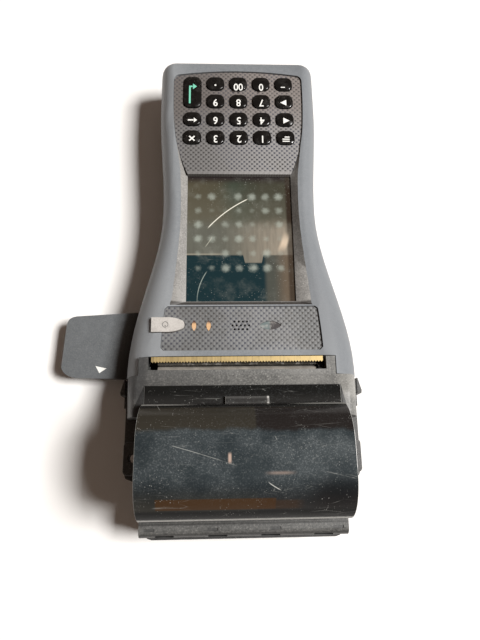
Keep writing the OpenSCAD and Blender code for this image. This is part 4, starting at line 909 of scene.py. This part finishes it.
def flat_mark(name, sides, place, width, length, turn, thick):
    """A printed bar (4 sides), arrow head (3) or dot: one flat face, stretched to size and thickened."""
    clear_selection()
    spot, angle = Vector(place) * MM, (0, 0, math.radians(turn))
    if sides == 4:
        bpy.ops.mesh.primitive_plane_add(size=MM, location=spot, rotation=angle)
    else:
        radius = MM / math.sqrt(3) if sides == 3 else MM / 2
        bpy.ops.mesh.primitive_circle_add(vertices=sides, radius=radius, fill_type="NGON",
                                          location=spot, rotation=angle)
    obj = bpy.context.active_object
    obj.name = name
    obj.scale = (width, length * 2 / math.sqrt(3) if sides == 3 else length, 1)
    bpy.ops.object.transform_apply(location=True, rotation=True, scale=True)
    bpy.ops.object.mode_set(mode="EDIT")
    bpy.ops.mesh.select_all(action="SELECT")
    bpy.ops.mesh.extrude_region_move(TRANSFORM_OT_translate={"value": (0, 0, thick * MM)})
    bpy.ops.mesh.select_all(action="SELECT")
    bpy.ops.mesh.normals_make_consistent(inside=False)
    bpy.ops.object.mode_set(mode="OBJECT")
    return obj


def digit(body_text, place, thick):
    clear_selection()
    bpy.ops.object.text_add(location=Vector(place) * MM)
    word = bpy.context.active_object
    word.data.body = body_text
    word.data.align_x = "CENTER"
    word.data.align_y = "CENTER"
    word.data.size = 5.0 * MM
    word.data.offset = 0.07 * MM
    word.data.extrude = thick * MM
    bpy.ops.object.convert(target="MESH")
    word = bpy.context.active_object
    pick(word)
    bpy.ops.object.mode_set(mode="EDIT")
    bpy.ops.mesh.select_all(action="SELECT")
    bpy.ops.transform.resize(value=(1.04, 1.24, 1), center_override=Vector(place) * MM)
    bpy.ops.object.mode_set(mode="OBJECT")
    return word


def legend(node, x, y):
    z, thick = KEY_TOP + 0.585, 0.03
    y += 2.7 if y < KEY_Y[3] + 1 else 1.5
    if node in LEGENDS:
        word = digit(LEGENDS[node], (x, y, z), thick)
        word.name = "legend_" + node[4:]
        settle(word, node + "_cap", WHITE_INK, ())
        return
    colour = GREEN_INK if node == "key_enter" else WHITE_INK
    for i, (sides, dx, dy, width, length, turn) in enumerate(KEY_MARKS[node]):
        name = "mark_%s_%d" % (node[4:], i + 1)
        mark = flat_mark(name, sides, (x + dx, y + dy, z + 0.004 * i), width, length, turn, thick)
        settle(mark, node + "_cap", colour, ())


def display():
    dressed("display_glass", "touch_panel", "case", DISPLAY_FACE, 0.1, 1, 40)


def power_button():
    obj = merged_copy("power_button", "power_plate")
    round_edges(obj, 0.55, 3, 50)
    smooth(obj, 50)
    settle(obj, "power_key", SILVER, ("power_button",))
    # standby mark: an open ring with a bar
    x, y, z = 36.6, 62.5, BUTTON_TOP
    clear_selection()
    bpy.ops.mesh.primitive_torus_add(location=(x * MM, y * MM, z * MM), major_radius=1.35 * MM,
                                     minor_radius=0.16 * MM,
                                     major_segments=36, minor_segments=8)
    ring = bpy.context.active_object
    bpy.ops.object.transform_apply(location=True, rotation=True, scale=True)
    select_faces(ring, lambda p, n: p.y > y + 0.9 and abs(p.x - x) < 0.62)
    bpy.ops.mesh.delete(type="FACE")
    bpy.ops.mesh.select_mode(type="EDGE")
    bpy.ops.mesh.select_all(action="SELECT")
    bpy.ops.mesh.fill_holes(sides=10)
    bpy.ops.object.mode_set(mode="OBJECT")
    ring.name = "standby_ring"
    settle(ring, "power_key", GREY_INK, ())
    bar = flat_mark("standby_bar", 4, (x, y + 1.1, z), 0.32, 1.6, 0, 0.1)
    settle(bar, "power_key", GREY_INK, ())


def printer_cover():
    dressed("lid_frame", "cover_frame", "lid", DARK, 0.35, 3, 32)
    dressed("lid_window", "cover_window", "lid", WINDOW, 0.8, 4, 32)


def small_parts():
    dressed("release_levers", "release_lever_pair", "levers", SHADE, 0.35, 2, 35)
    dressed("paper_tray", "roll_tray", "case", SHADE, 0.0, 2, 35)
    for node, material in (
            ("tear_blade", BRASS), ("platen_roller", PLATEN), ("platen_shaft", STEEL), ("platen_gear", GEAR),
            ("motor_pinion", GEAR), ("idler_gear", GEAR), ("platen_bushes", GEAR), ("led_windows", AMBER),
            ("sensor_window", BLUE), ("lcd_module", BOARD), ("keypad_mat", MAT_RUBBER),
            ("keypad_board", BOARD),
            ("main_board", BOARD), ("speaker", STEEL), ("thermal_head", CERAMIC), ("head_heatsink", AGED),
            ("head_springs", STEEL), ("printer_chassis", STEEL), ("feed_motor", STEEL), ("idler_post", STEEL),
            ("hinge_pin", STEEL), ("release_shaft", STEEL), ("battery_pack", WRAP),
            ("battery_contacts", BRASS),
            ("scan_engine", SHADE), ("scan_window", RED), ("card_head", STEEL), ("case_screws", STEEL),
            ("dock_connector", GEAR)):
        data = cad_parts[node].data
        data.materials.clear()
        data.materials.append(material)


def guide_arrow():
    mark = flat_mark("swipe_arrow", 3, (71.8, 79.6, GUIDE_TOP + 0.02), 5.8, 3.1, -12.8, 0.03)
    settle(mark, "case", WHITE_INK, ())


def floor():
    clear_selection()
    bpy.ops.mesh.primitive_grid_add(x_subdivisions=4, y_subdivisions=4, size=6.0, location=(0, 0, -0.0001))
    table = bpy.context.active_object
    table.name = "table"
    table.data.materials.append(table_top("pale table"))


place_camera()
light_the_table()
case_shells()
front_panels()
key_caps()
display()
power_button()
printer_cover()
small_parts()
guide_arrow()
floor()
clear_selection()
